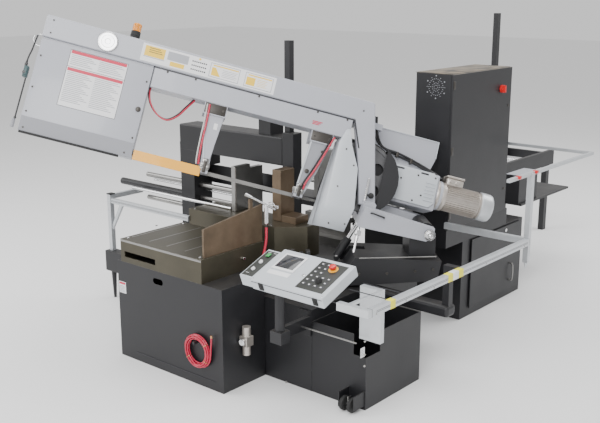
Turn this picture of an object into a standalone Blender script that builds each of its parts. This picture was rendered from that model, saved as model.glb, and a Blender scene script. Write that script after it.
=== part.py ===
"""Mitre band saw with shuttle feed, in metres, +Z up.

The origin is on the floor, on the vertical axis about which the saw head mitres. Work goes in along -Y,
from the roller table at +Y to the discharge table at -Y. The head stands at its 45 degree mitre, raised.
Head pieces are laid out in the head's own space: u along the blade towards the drive end, v away from
the doors, w up from the blade's cutting line.
"""

import math

import bmesh
import bpy
from mathutils import Euler, Matrix, Vector

# Driving dimensions
GAP = 0.0003
SHEET = 0.005
MITRE = math.radians(45.0)
LIFT = math.radians(15.5)
CANT = math.radians(18.5)
BLADE_LINE_RAISED = 1.253
PIVOT_OUT = 1.09
PIVOT_HEIGHT = 0.961
WHEEL_RADIUS = 0.25
IDLER_U = -1.37
DRIVE_U = 0.60
BAND_WIDTH = 0.032
BAND_THICK = 0.0016
BEAM_TOP = 0.78
BEAM_BOTTOM = 0.625
BEAM_HALF = 0.09
TABLE_TOP = 0.898
BED_TOP = 0.955
BASE_TOP = 0.58
BRIDGE_FRONT = 0.39
RAIL_HEIGHT = 0.86
RAIL_HALF = 0.024
FENCE_X = -1.93
FENCE_Y = 0.08
FENCE_TOP = 0.872
COIL_CENTRE = (-0.036, -0.7225, 0.258)
COIL_RADIUS = 0.100
COIL_THICK = 0.0215
AIR_HOSE_RADIUS = 0.006
GUN_TIP = Vector((-0.06, -0.20, 1.245))
GUN_END = Vector((0.215, -0.20, 1.1813))
GUN_HOSE_RADIUS = 0.0095
GUN_HOSE_ROUTE = (
    (0.128, -0.200, 1.070), (0.128, -0.200, 1.020), (0.126, -0.200, 0.960), (0.118, -0.203, 0.900),
    (0.108, -0.212, 0.840), (0.102, -0.228, 0.780), (0.100, -0.245, 0.720), (0.100, -0.2535, 0.670),
    (0.100, -0.2535, 0.640),
)
CONSOLE_AXIS = (0.62, -0.62)
CONSOLE_TILT = math.radians(20.6)
JAW_ROD_Y = 0.47
JAW_ROD_HEIGHTS = (1.045, 0.840)
RAM_HEIGHT = 0.938
GUIDED = (-0.50, 0.15)
TWIST_RUN = 0.36
LIFT_BASE = (0.47, 0.725)
LIFT_TOP = (0.6275, 0.9865)
LIFT_SIDE = 0.07
SHUTTLE_Z = 0.76
IDLER_DOOR_HINGE = (-1.770, -0.080, 0.30)
DRIVE_COVER_HINGE = (0.592, -0.098, 0.12)
BUTTON_TRAVEL = 0.003

COLOURS = {
    "black": ((0.012, 0.012, 0.014), 0.55, 0.0),
    "grey": ((0.60, 0.62, 0.66), 0.42, 0.0),
    "steel": ((0.33, 0.31, 0.27), 0.35, 1.0),
    "chrome": ((0.75, 0.75, 0.76), 0.12, 1.0),
    "silver": ((0.55, 0.54, 0.52), 0.35, 0.9),
    "rubber": ((0.02, 0.02, 0.02), 0.8, 0.0),
    "yellow": ((0.90, 0.52, 0.02), 0.45, 0.0),
    "red": ((0.45, 0.01, 0.02), 0.4, 0.0),
    "amber": ((0.95, 0.30, 0.01), 0.2, 0.0),
    "white": ((0.8, 0.8, 0.8), 0.4, 0.0),
    "rail": ((0.55, 0.57, 0.58), 0.4, 0.6),
}


# Shared helpers

def clear_scene():
    for item in list(bpy.data.objects):
        bpy.data.objects.remove(item, do_unlink=True)


def new_collection(name):
    collection = bpy.data.collections.new(name)
    bpy.context.scene.collection.children.link(collection)
    return collection


def new_material(name, colour):
    base, roughness, metallic = COLOURS[colour]
    material = bpy.data.materials.new(name)
    material.use_nodes = True
    shader = material.node_tree.nodes["Principled BSDF"]
    shader.inputs["Base Color"].default_value = (*base, 1.0)
    shader.inputs["Roughness"].default_value = roughness
    shader.inputs["Metallic"].default_value = metallic
    return material


def settle(name, bm, colour, parent=None, origin=(0, 0, 0)):
    """Makes an object of the mesh, whose points are in its parent's space, with its origin at origin."""
    bmesh.ops.translate(bm, verts=bm.verts, vec=-Vector(origin))
    bmesh.ops.recalc_face_normals(bm, faces=bm.faces)
    mesh = bpy.data.meshes.new(name)
    bm.to_mesh(mesh)
    bm.free()
    piece = bpy.data.objects.new(name, mesh)
    piece.location = origin
    piece.parent = parent
    PARTS.objects.link(piece)
    mesh.materials.append(new_material(name, colour))
    return piece


def block(name, low, high, colour, parent=None, origin=(0, 0, 0), bevel=0.0):
    bm = bmesh.new()
    low, high = Vector(low), Vector(high)
    bmesh.ops.create_cube(bm, size=1.0)
    bmesh.ops.scale(bm, vec=high - low, verts=bm.verts)
    bmesh.ops.translate(bm, vec=(low + high) / 2, verts=bm.verts)
    piece = settle(name, bm, colour, parent, origin)
    if bevel:
        add_bevel(piece, bevel)
    return piece


def tray(name, low, high, open_side, colour, parent=None, origin=(0, 0, 0), wall=SHEET):
    """A sheet metal box without the wall that faces open_side."""
    bm = bmesh.new()
    low, high = Vector(low), Vector(high)
    bmesh.ops.create_cube(bm, size=1.0)
    bmesh.ops.scale(bm, vec=high - low, verts=bm.verts)
    bmesh.ops.translate(bm, vec=(low + high) / 2, verts=bm.verts)
    side = Vector(open_side)
    gone = [face for face in bm.faces if face.normal.dot(side) > 0.9]
    bmesh.ops.delete(bm, geom=gone, context="FACES")
    piece = settle(name, bm, colour, parent, origin)
    flip_if_inward(piece, (low + high) / 2 - Vector(origin))
    shell = piece.modifiers.new("Wall", "SOLIDIFY")
    shell.thickness = wall
    shell.offset = -1.0
    shell.use_even_offset = True
    return piece


def flip_if_inward(piece, middle):
    face = piece.data.polygons[0]
    if (face.center - middle).dot(face.normal) < 0:
        piece.data.flip_normals()


def rod(name, start, end, radius, colour, parent=None, origin=(0, 0, 0), sides=20, end_radius=None):
    bm = bmesh.new()
    start, end = Vector(start), Vector(end)
    bmesh.ops.create_cone(
        bm,
        cap_ends=True,
        segments=sides,
        radius1=radius,
        radius2=radius if end_radius is None else end_radius,
        depth=(end - start).length,
    )
    turn = Vector((0, 0, 1)).rotation_difference(end - start).to_matrix()
    bmesh.ops.rotate(bm, verts=bm.verts, cent=(0, 0, 0), matrix=turn)
    bmesh.ops.translate(bm, verts=bm.verts, vec=(start + end) / 2)
    return settle(name, bm, colour, parent, origin)


PLANES = {
    "XY": Matrix.Identity(3),
    "XZ": Matrix(((1, 0, 0), (0, 0, -1), (0, 1, 0))),
    "YZ": Matrix(((0, 0, 1), (1, 0, 0), (0, 1, 0))),
}


def plate(name, outline, plane, low, high, colour, parent=None, origin=(0, 0, 0)):
    """A flat outline in a plane, drawn out from low to high along the plane's third axis."""
    curve = bpy.data.curves.new(name, "CURVE")
    curve.dimensions = "2D"
    curve.fill_mode = "BOTH"
    curve.extrude = (high - low) / 2
    spline = curve.splines.new("POLY")
    spline.points.add(len(outline) - 1)
    for point, (a, b) in zip(spline.points, outline):
        point.co = (a, b, 0, 1)
    spline.use_cyclic_u = True
    flat = bpy.data.objects.new(name + "_outline", curve)
    PARTS.objects.link(flat)
    bpy.context.view_layer.update()
    mesh = bpy.data.meshes.new_from_object(flat.evaluated_get(bpy.context.evaluated_depsgraph_get()))
    bpy.data.objects.remove(flat, do_unlink=True)
    bm = bmesh.new()
    bm.from_mesh(mesh)
    bpy.data.meshes.remove(mesh)
    bmesh.ops.remove_doubles(bm, verts=bm.verts, dist=0.00005)
    middle = (low + high) / 2
    bmesh.ops.translate(bm, verts=bm.verts, vec=(0, 0, -middle if plane == "XZ" else middle))
    bmesh.ops.transform(bm, matrix=PLANES[plane].to_4x4(), verts=bm.verts)
    return settle(name, bm, colour, parent, origin)


def smooth_route(points, spacing):
    """Points at about this spacing along a smooth curve through the given ones."""
    points = [Vector(point) for point in points]
    padded = [2 * points[0] - points[1]] + points + [2 * points[-1] - points[-2]]
    route = []
    for before, start, end, after in zip(padded, padded[1:], padded[2:], padded[3:]):
        steps = max(1, round((end - start).length / spacing))
        for step in range(steps):
            t = step / steps
            bend = (2 * before - 5 * start + 4 * end - after) * t * t
            bend += (3 * start - before - 3 * end + after) * t ** 3
            route.append(start + ((end - before) * t + bend) / 2)
    return route + [points[-1]]


def tube(name, points, radius, colour, parent=None, sides_each=2):
    curve = bpy.data.curves.new(name, "CURVE")
    curve.dimensions = "3D"
    curve.bevel_depth = radius
    curve.bevel_resolution = sides_each
    curve.use_fill_caps = True
    spline = curve.splines.new("POLY")
    spline.points.add(len(points) - 1)
    for point, place in zip(spline.points, points):
        point.co = (*place, 1)
    piece = bpy.data.objects.new(name, curve)
    piece.parent = parent
    PARTS.objects.link(piece)
    curve.materials.append(new_material(name, colour))
    return piece


def ring(name, centre, radius, thick, colour, parent=None, turn=(0, 0, 0), steps=40, sides=8):
    """A turned ring: its round section is spun about its axis with a Screw modifier."""
    mesh = bpy.data.meshes.new(name)
    corners = [
        (radius + thick * math.cos(math.tau * n / sides), 0, -thick * math.sin(math.tau * n / sides))
        for n in range(sides)
    ]
    mesh.from_pydata(corners, [(n, (n + 1) % sides) for n in range(sides)], [])
    piece = bpy.data.objects.new(name, mesh)
    piece.location = centre
    piece.rotation_euler = turn
    piece.parent = parent
    PARTS.objects.link(piece)
    mesh.materials.append(new_material(name, colour))
    screw = piece.modifiers.new("Turn", "SCREW")
    screw.steps = steps
    screw.render_steps = steps
    screw.use_merge_vertices = True
    screw.merge_threshold = 0.0001
    return piece


def add_bevel(piece, width, segments=2):
    bevel = piece.modifiers.new("Edges", "BEVEL")
    bevel.width = width
    bevel.segments = segments
    bevel.limit_method = "ANGLE"
    return piece


def boolean(piece, tool, operation):
    PARTS.objects.unlink(tool)
    CUTTERS.objects.link(tool)
    tool.hide_render = True
    tool.display_type = "WIRE"
    step = piece.modifiers.new(operation.title(), "BOOLEAN")
    step.operation = operation
    step.solver = "EXACT"
    step.object = tool


def join(piece, *others):
    for other in others:
        boolean(piece, other, "UNION")
    return piece


def cut(piece, *others):
    for other in others:
        boolean(piece, other, "DIFFERENCE")
    return piece


def empty(name, location, rotation=(0, 0, 0), parent=None):
    frame = bpy.data.objects.new(name, None)
    frame.location = location
    frame.rotation_euler = rotation
    frame.parent = parent
    PARTS.objects.link(frame)
    return frame


def stadium(centre, half_length, radius, steps=8):
    """The outline of a slot with round ends, along the first axis."""
    points = []
    for side, start in ((1, -90), (-1, 90)):
        for n in range(steps + 1):
            angle = math.radians(start + 180 * n / steps)
            across = centre[0] + side * half_length + radius * math.cos(angle)
            points.append((across, centre[1] + radius * math.sin(angle)))
    return points


# Discharge side: cabinet, table and hoses

def build_front_cabinet():
    cabinet = tray("front_cabinet", (-0.875, -0.70, 0), (0.187, -0.29, 0.73), (0, 0, -1), "black")
    vent = plate("vent_cutter", stadium((-0.44, 0.655), 0.03, 0.022), "XZ", -0.72, -0.68, "black")
    cut(cabinet, vent)
    hook = rod("hose_hook", (-0.036, -0.757, 0.3250), (-0.036, -0.698, 0.3250), 0.011, "black")
    join(cabinet, hook)


def build_discharge_table():
    low, high = (-0.83, -0.70, 0.73 + GAP), (0.0, -0.09, TABLE_TOP)
    table = tray("discharge_table", low, high, (0, 0, -1), "steel", wall=0.014)
    recess = block("recess_cutter", (-0.79, -0.72, 0.770), (-0.46, -0.67, 0.812), "black")
    cut(table, recess)
    outline = [(-0.66, TABLE_TOP + GAP), (-0.09, TABLE_TOP + GAP), (-0.09, 1.165), (-0.66, 1.095)]
    fence = plate("table_fence", outline, "YZ", -0.026, -0.012, "steel")
    join(fence, block("gun_saddle", (-0.026, -0.215, 1.13), (-0.012, -0.185, 1.2220), "steel"))


def build_air_hose():
    ring("air_hose_coil", COIL_CENTRE, COIL_RADIUS, COIL_THICK, "red", turn=(math.pi / 2, 0, 0))
    out = COIL_CENTRE[0] + COIL_RADIUS + COIL_THICK + AIR_HOSE_RADIUS + GAP
    depth = COIL_CENTRE[1]
    route = [(out, depth, 0.258), (out + 0.003, depth, 0.285), (out + 0.010, depth - 0.004, 0.32),
             (out + 0.013, depth - 0.003, 0.36), (out + 0.012, depth, 0.402)]
    tube("air_hose_tail", smooth_route(route, 0.014), AIR_HOSE_RADIUS, "red")


def build_wash_gun():
    gun = rod("wash_gun", GUN_TIP, GUN_END, 0.008, "chrome", sides=12)
    top = Vector((0.128, -0.200, 1.2))
    join(
        gun,
        rod("gun_nozzle", GUN_TIP, GUN_TIP.lerp(GUN_END, 0.22), 0.015, "chrome", sides=14, end_radius=0.010),
        rod("gun_body", (0.128, -0.200, 1.0753), top, 0.015, "chrome", sides=14),
        rod("gun_swivel", (0.128, -0.200, 1.0703), (0.128, -0.200, 1.085), 0.0125, "chrome", sides=6),
    )
    pivot = (0.150, -0.200, 1.215)
    trigger = block("gun_trigger", (0.150, -0.206, 1.2055), (0.235, -0.194, 1.2125), "chrome", origin=pivot)
    join(trigger,
         block("trigger_lip", (0.226, -0.206, 1.190), (0.235, -0.194, 1.209), "chrome", origin=pivot))
    tube("wash_hose", smooth_route(GUN_HOSE_ROUTE, 0.022), GUN_HOSE_RADIUS, "red")


def build_air_unit():
    unit = block("air_unit", (0.187 + GAP, -0.545, 0.30), (0.255, -0.475, 0.37), "silver", bevel=0.004)
    join(
        unit,
        rod("air_bowl", (0.222, -0.51, 0.235), (0.222, -0.51, 0.31), 0.028, "silver"),
        rod("air_regulator", (0.222, -0.51, 0.36), (0.222, -0.51, 0.435), 0.030, "silver"),
        rod("air_union", (0.222, -0.56, 0.335), (0.222, -0.46, 0.335), 0.012, "silver", sides=6),
    )


def build_discharge_side():
    build_front_cabinet()
    build_discharge_table()
    build_air_hose()
    build_wash_gun()
    build_air_unit()


# Main base, coolant tank and console

def build_main_base():
    outer = [(0.605, -0.285), (0.605, 0.98), (-1.40, 0.98), (-1.40, 0.03), (-0.45, 0.03), (-0.45, -0.285)]
    inner = [(0.60, -0.28), (0.60, 0.975), (-1.395, 0.975), (-1.395, 0.035), (-0.445, 0.035), (-0.445, -0.28)]
    base = plate("main_base", outer, "XY", 0, BASE_TOP, "black")
    cut(base, plate("base_hollow_cutter", inner, "XY", -0.05, BASE_TOP - 0.012, "black"))
    coupling_x, coupling_y, coupling_top = GUN_HOSE_ROUTE[-1]
    join(
        base,
        block("floor_web", (-0.448, -0.15, 0.0), (0.603, 0.15, 0.012), "black"),
        rod(
            "hose_coupling",
            (coupling_x, coupling_y, BASE_TOP - 0.005),
            (coupling_x, coupling_y, coupling_top - GAP),
            0.013, "black", sides=6,
        ),
    )
    join_rail_brackets(base)


def join_rail_brackets(base):
    """The stub beams that carry the barrier on the right and the fence on the left."""
    arm_top = RAIL_HEIGHT - 0.01
    x, y = FENCE_X, FENCE_Y
    join(
        base,
        block("right_beam", (0.600, 0.352, 0.49), (1.250, 0.46, 0.57), "black", bevel=0.02),
        block("right_upright", (1.19, 0.38, 0.54), (1.24, 0.43, arm_top), "black"),
        block("right_reach", (1.19, 0.38, arm_top - 0.03), (1.3517, 0.43, arm_top), "black"),
        block("left_beam", (x - 0.05, y - 0.049, 0.25), (-1.398, y + 0.05, 0.43), "black", bevel=0.006),
        rod("fence_foot", (x, y, 0.0), (x, y, 0.26), 0.012, "black", end_radius=0.024, sides=10),
    )


def build_coolant_tank():
    tank = tray("coolant_tank", (0.605 + GAP, -0.283, 0.0), (1.05, 0.346, 0.50), (0, 0, 1), "black")
    notch = block("notch_cutter", (0.95, -0.30, 0.36), (1.07, -0.13, 0.52), "black")
    brackets = [
        block(f"wheel_bracket_{side}", (x, -0.395, 0.03), (x + 0.008, -0.281, 0.13), "black")
        for side, x in enumerate((0.915, 1.035))
    ]
    cut(tank, notch)
    join(tank, *brackets)
    y, z = -0.36, 0.052
    axle = (0.979, y, z)
    pair = rod("tank_wheels", (0.926, y, z), (0.946, y, z), z, "rubber", origin=axle)
    join(
        pair,
        rod("wheel_right", (1.012, y, z), (1.032, y, z), z, "rubber", origin=axle),
        rod("wheel_axle", (0.930, y, z), (1.028, y, z), 0.010, "rubber", origin=axle),
    )


def build_console():
    axis_x, axis_y = CONSOLE_AXIS
    arm = rod("console_arm", (axis_x, axis_y, 0.50), (axis_x, axis_y, 0.84), 0.032, "black")
    join(
        arm,
        block("arm_reach", (0.575, -0.66, 0.46), (0.6049, -0.285 - GAP, 0.54), "black"),
        block("arm_foot", (0.572, -0.66, 0.46), (0.665, -0.575, 0.54), "black"),
        block("arm_flange", (0.50, -0.30, 0.40), (0.6048, -0.285 - GAP, 0.57), "black"),
    )
    tilt = empty("console_tilt", (axis_x, axis_y, 0.90), (CONSOLE_TILT, 0, 0))
    # In the tilted space y runs up the sloping face, whose height is face.
    face = 0.109
    body = block("console", (-0.035, -0.205, face - 0.072), (0.524, 0.137, face), "grey", tilt, bevel=0.006)
    join(
        body,
        block("switch_box", (-0.140, -0.185, face - 0.080), (-0.030, 0.100, face - 0.004), "grey", tilt),
        rod("console_hub", (0, 0, -0.045), (0, 0, 0.05), 0.045, "grey", tilt),
    )
    trim = block("hub_trim_cutter", (-0.3, -0.3, -0.5), (0.3, 0.3, 0.0), "grey")
    trim.location = (axis_x, axis_y, 0.84 + GAP)
    cut(body, trim)
    buttons = (
        ("emergency_stop", (0.415, 0.055), 0.019, 0.030, "red"),
        ("start_button", (-0.090, 0.055), 0.013, 0.016, "yellow"),
    )
    for name, (x, y), radius, height, colour in buttons:
        top = face - (0.004 if x < 0 else 0)
        place = (x, y, top + GAP)
        button = rod(name, (x, y, top + 0.004), (x, y, top + height), radius, colour, tilt, place)
        join(button, rod(name + "_stem", place, (x, y, top + 0.006), radius * 0.5, colour, tilt, place))
        low, high = (x, y, top - 2 * BUTTON_TRAVEL), (x, y, top + BUTTON_TRAVEL)
        cut(body, rod(name + "_hole_cutter", low, high, radius * 0.5 + 2 * GAP, "grey", tilt))
    for number, y in enumerate((-0.035, -0.110)):
        top = face - 0.004 + GAP
        place = (-0.09, y, top)
        knob = rod(f"selector_{number + 1}", place, (-0.09, y, top + 0.010), 0.014, "white", tilt, place)
        low, high = (-0.104, y - 0.004, top + 0.008), (-0.076, y + 0.004, top + 0.022)
        join(knob, block(f"grip_{number}", low, high, "white", tilt, place))


# Vise on the main base

def build_vise():
    outline = [(-0.95, 0.08), (-0.05, 0.08), (0.12, 0.25), (0.12, 0.385), (-0.95, 0.385)]
    bed = plate("vise_bed", outline, "XY", 0.72, BED_TOP, "steel")
    join(bed, block("bed_foot", (-0.95, 0.08, BASE_TOP + GAP), (-0.50, 0.385, 0.75), "steel"))
    cut(bed, block("bed_hollow_cutter", (-0.92, 0.11, 0.50), (-0.53, 0.355, BED_TOP - 0.03), "steel"))
    bridge = block("bridge_arm", (-1.376, BRIDGE_FRONT, 1.335), (-0.244, 0.60, 1.55), "black", bevel=0.01)
    join(
        bridge,
        block("left_hood", (-1.376, BRIDGE_FRONT + 0.002, 1.22), (-1.114, 0.598, 1.40), "black"),
        block("left_column", (-1.374, BRIDGE_FRONT + 0.004, BASE_TOP + GAP), (-1.215, 0.596, 1.40), "black"),
        block("rear_plate", (-1.30, 0.588, 1.05), (-0.25, 0.600, 1.20), "black"),
        block("plate_hanger", (-0.35, 0.588, 1.18), (-0.25, 0.600, 1.36), "black"),
        block("bridge_bracket", (-0.50, 0.41, 1.54), (-0.38, 0.56, 1.694), "black"),
    )
    for z in JAW_ROD_HEIGHTS:
        cut(bridge, rod("rod_guide_cutter", (-1.5, JAW_ROD_Y, z), (-1.0, JAW_ROD_Y, z), 0.0225, "black"))
    cut(bridge,
        rod("ram_guide_cutter", (-1.5, JAW_ROD_Y, RAM_HEIGHT), (-1.0, JAW_ROD_Y, RAM_HEIGHT), 0.0165,
            "black"))
    low, high = (-0.2437, BRIDGE_FRONT, BASE_TOP + GAP), (-0.135, 0.49, 1.59)
    column = block("bridge_column", low, high, "black", bevel=0.004)
    join(column, block("front_post", (-0.241, 0.415, 1.58), (-0.191, 0.465, 2.265), "black"))
    jaw = block("fixed_jaw", (-0.203, 0.23, BED_TOP + GAP), (-0.12, 0.385, 1.34), "steel", bevel=0.003)
    join(jaw, block("jaw_toe", (-0.203, 0.235, BED_TOP + GAP), (0.02, 0.38, BED_TOP + 0.05), "steel"))


def build_vise_jaw():
    jaw = block("vise_jaw", (-0.627, 0.23, BED_TOP + 0.001), (-0.585, 0.400, 1.31), "steel", bevel=0.003)
    join(
        jaw,
        block("jaw_back", (-0.627, 0.3855, 0.78), (-0.585, 0.54, 1.28), "steel"),
        block("jaw_rib", (-0.70, 0.40, 0.79), (-0.62, 0.53, 1.10), "steel"),
        rod("ram_rod", (-1.75, JAW_ROD_Y, RAM_HEIGHT), (-0.66, JAW_ROD_Y, RAM_HEIGHT), 0.0155, "steel",
            sides=14),
        *[
            rod(f"jaw_rod_{n}", (-1.89, JAW_ROD_Y, z), (-0.66, JAW_ROD_Y, z), 0.021, "steel", sides=16)
            for n, z in enumerate(JAW_ROD_HEIGHTS)
        ],
    )
    cylinder = rod("vise_cylinder", (-2.241, JAW_ROD_Y, RAM_HEIGHT), (-1.3763, JAW_ROD_Y, RAM_HEIGHT),
                   0.030, "black")
    cut(cylinder,
        rod("ram_bore_cutter", (-2.20, JAW_ROD_Y, RAM_HEIGHT), (-1.3, JAW_ROD_Y, RAM_HEIGHT), 0.0185,
            "black"))


# Head, in its own space

def build_head_frame():
    outline = [
        (-1.771, BEAM_BOTTOM), (0.452, BEAM_BOTTOM), (0.56, 0.27), (0.615, 0.045), (0.735, 0.045),
        (0.588, 0.70), (0.573, 0.77), (0.55, BEAM_TOP), (-1.771, BEAM_TOP),
    ]
    frame = plate("head_frame", outline, "XZ", -BEAM_HALF, BEAM_HALF, "grey", HEAD)
    add_bevel(frame, 0.006, 1)
    hole = block("wheel_slot_cutter", (0.30, -0.035, -0.05), (0.88, 0.12, 0.60), "grey", HEAD)
    cut(frame, hole)
    arms = []
    for number, (near, far) in enumerate(((-0.19, -0.135), (0.135, 0.19))):
        side = [(-0.50, -0.075), (0.0, -0.060), (0.045, -0.02), (0.035, 0.045), (-0.49, 0.075)]
        arms.append(plate(f"head_arm_{number}", side, "XZ", near, far, "grey", ARM_SPACE))
    cross = block("arm_cross", (-0.495, -0.16, -0.073), (-0.41, 0.16, -0.022), "grey", ARM_SPACE)
    saddle = block("arm_saddle", (-0.495, -0.16, -0.07), (-0.41, -0.055, 0.10), "grey", ARM_SPACE)
    join(frame, cross, saddle, *arms)
    bore = rod("bore_cutter", (0, -0.3, 0), (0, 0.3, 0), 0.0308, "grey", ARM_SPACE, sides=24)
    cut(frame, bore)


def build_rail_cover():
    low, high = (-0.99, -0.088, 0.476), (0.440, 0.05, BEAM_BOTTOM - GAP)
    cover = tray("rail_cover", low, high, (0, 0, 1), "grey", HEAD, wall=0.003)
    ends = block("rail_ends_cutter", (-1.1, -0.030, 0.484), (0.55, 0.030, 0.63), "grey", HEAD)
    cut(cover, ends)


def build_idler_housing():
    back_outline = [(-1.76, -0.018), (-0.995, -0.018), (-0.995, BEAM_BOTTOM - GAP),
                    (-1.76, BEAM_BOTTOM - GAP)]
    housing = plate("idler_housing", back_outline, "XZ", 0.050, 0.055, "grey", HEAD)
    rim_top = [(-1.76, -0.0745), (-1.74, -0.0745), (-1.74, 0.053), (-1.76, 0.053)]
    left = plate("housing_left", rim_top, "XY", -0.018, BEAM_BOTTOM - GAP, "grey", HEAD)
    right = block("housing_right", (-1.000, -0.0745, 0.03), (-0.995, 0.053, 0.470), "grey", HEAD)
    floor = block("housing_floor", (-1.76, -0.0745, -0.030), (-0.995, 0.055, -0.0155), "grey", HEAD)
    roof = block("housing_roof", (-1.76, -0.0745, 0.612), (-1.0, 0.053, BEAM_BOTTOM - GAP), "grey", HEAD)
    boss = rod("idler_boss", (IDLER_U, 0.022, WHEEL_RADIUS), (IDLER_U, 0.053, WHEEL_RADIUS), 0.05, "grey",
               HEAD)
    axle = rod("idler_axle", (IDLER_U, -0.040, WHEEL_RADIUS), (IDLER_U, 0.03, WHEEL_RADIUS), 0.020, "grey",
               HEAD)
    join(housing, left, right, floor, roof, boss, axle)
    door = plate(
        "idler_door",
        [(-1.765, -0.036), (-1.0, -0.036), (-0.994, 0.470), (-1.002, 0.612), (-1.765, 0.612)],
        "XZ", -0.100, -0.080, "grey", HEAD, IDLER_DOOR_HINGE,
    )
    add_bevel(door, 0.004, 2)
    hollow = block("door_hollow_cutter", (-1.74, -0.092, -0.02), (-1.03, -0.07, 0.59), "grey", HEAD)
    cut(door, hollow)


def wheel(name, u, colour):
    """A spoked band wheel, as a rim, a web with round holes and a hub with a bore."""
    centre = Vector((u, 0, WHEEL_RADIUS))
    def disc(part, near, far, radius, sides=48):
        return rod(part, centre + Vector((0, near, 0)), centre + Vector((0, far, 0)), radius, colour, HEAD,
                   centre, sides)
    body = disc(name, -0.0165, 0.0165, WHEEL_RADIUS - 0.001)
    front = disc(name + "_front_cutter", -0.05, -0.005, WHEEL_RADIUS - 0.022)
    rear = disc(name + "_rear_cutter", 0.005, 0.05, WHEEL_RADIUS - 0.022)
    cut(body, front, rear)
    join(body, disc(name + "_hub", -0.020, 0.020, 0.048, 24))
    for n in range(5):
        angle = math.tau * (n + 0.5) / 5
        middle = centre + Vector((math.cos(angle), 0, math.sin(angle))) * 0.135
        hole = rod(f"{name}_hole_{n}", middle - Vector((0, 0.05, 0)), middle + Vector((0, 0.05, 0)), 0.045,
                   colour, HEAD, centre, 16)
        cut(body, hole)
    cut(body, disc(name + "_bore_cutter", -0.08, 0.08, 0.0208, 24))


def blade_section(along, flat_run):
    """A place on the blade's loop and the direction there, for a distance along it from the idler's top."""
    turn = math.pi * WHEEL_RADIUS
    top = WHEEL_RADIUS * 2
    if along < flat_run:
        return Vector((IDLER_U + along, 0, top)), 0.0
    if along < flat_run + turn:
        angle = (along - flat_run) / WHEEL_RADIUS
        round_drive = Vector((DRIVE_U + WHEEL_RADIUS * math.sin(angle), 0,
                              WHEEL_RADIUS * (1 + math.cos(angle))))
        return round_drive, angle
    if along < 2 * flat_run + turn:
        return Vector((DRIVE_U - (along - flat_run - turn), 0, 0)), math.pi
    angle = (along - 2 * flat_run - turn) / WHEEL_RADIUS
    round_idler = Vector((IDLER_U - WHEEL_RADIUS * math.sin(angle), 0, WHEEL_RADIUS * (1 - math.cos(angle))))
    return round_idler, math.pi + angle


def blade_twist(place):
    """How far the band is turned upright here: whole between the guides, none on the wheels."""
    if place.z > 0.01:
        return 0.0
    outside = max(GUIDED[0] - place.x, place.x - GUIDED[1], 0.0) / TWIST_RUN
    return (math.pi / 2 - CANT) * max(0.0, 1.0 - outside)


def build_blade():
    flat_run = DRIVE_U - IDLER_U
    turn_steps, flat_steps = 24, 24
    stops = [flat_run * n / flat_steps for n in range(flat_steps)]
    stops += [flat_run + math.pi * WHEEL_RADIUS * n / turn_steps for n in range(turn_steps)]
    half = flat_run + math.pi * WHEEL_RADIUS
    stops += [half + stop for stop in stops]
    bm = bmesh.new()
    sections = []
    for stop in stops:
        place, angle = blade_section(stop, flat_run)
        outward = Vector((math.sin(angle), 0, math.cos(angle)))
        across = Vector((0, 1, 0))
        twist = blade_twist(place)
        if twist:
            # The cutting edge, which is the far edge on the wheels, turns down to the work.
            across = Vector((0, math.cos(twist), math.sin(twist)))
            outward = Vector((0, math.sin(twist), -math.cos(twist)))
        corners = [
            place + across * side * BAND_WIDTH / 2 + outward * out
            for side, out in ((-1, 0), (1, 0), (1, BAND_THICK), (-1, BAND_THICK))
        ]
        sections.append([bm.verts.new(corner) for corner in corners])
    for section, following in zip(sections, sections[1:] + sections[:1]):
        for n in range(4):
            m = (n + 1) % 4
            bm.faces.new((section[n], section[m], following[m], following[n]))
    settle("saw_blade", bm, "silver", HEAD)


def build_drive_end():
    centre = Vector((DRIVE_U, 0, WHEEL_RADIUS))
    back = [(DRIVE_U + 0.275 * math.cos(a), WHEEL_RADIUS + 0.275 * math.sin(a))
            for a in (math.radians(-80 + 160 * n / 12) for n in range(13))]
    back += [(0.47, 0.50), (0.37, 0.40), (0.325, 0.10), (0.33, 0.015)]
    housing = plate("drive_housing", back, "XZ", 0.0305, 0.036, "black", HEAD)
    rim = plate("housing_rim", back[:13] + [(0.66, 0.25)], "XZ", -0.040, 0.033, "black", HEAD)
    inside = [(DRIVE_U + 0.268 * math.cos(a), WHEEL_RADIUS + 0.268 * math.sin(a))
              for a in (math.radians(-100 + 200 * n / 14) for n in range(15))]
    rim_cut = plate("rim_cutter", inside, "XZ", -0.034, 0.05, "black", HEAD)
    cut(rim, rim_cut)
    clear_leg = block("leg_clear_cutter", (0.3, -0.2, -0.2), (0.748, 0.0304, 0.9), "black", HEAD)
    cut(rim, clear_leg)
    join(housing, rim)
    cut(housing, block("cross_clear_cutter", (0.60, -0.05, -0.10), (0.78, 0.05, 0.014), "black", HEAD))
    cut(housing,
        rod("shaft_cutter", centre + Vector((0, -0.1, 0)), centre + Vector((0, 0.2, 0)), 0.04, "black", HEAD))
    outline = [
        (0.360, 0.440), (0.430, 0.560), (0.455, 0.470), (0.548, 0.285), (0.588, 0.0),
        (0.550, -0.161), (0.300, -0.187),
    ]
    cover = plate("drive_cover", outline, "XZ", -0.098, -0.0935, "grey", HEAD, DRIVE_COVER_HINGE)
    side = [(0.360, 0.440), (0.366, 0.440), (0.306, -0.187), (0.300, -0.187)]
    join(cover, plate("cover_side", side, "XZ", -0.096, -0.022, "grey", HEAD, DRIVE_COVER_HINGE))


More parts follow.
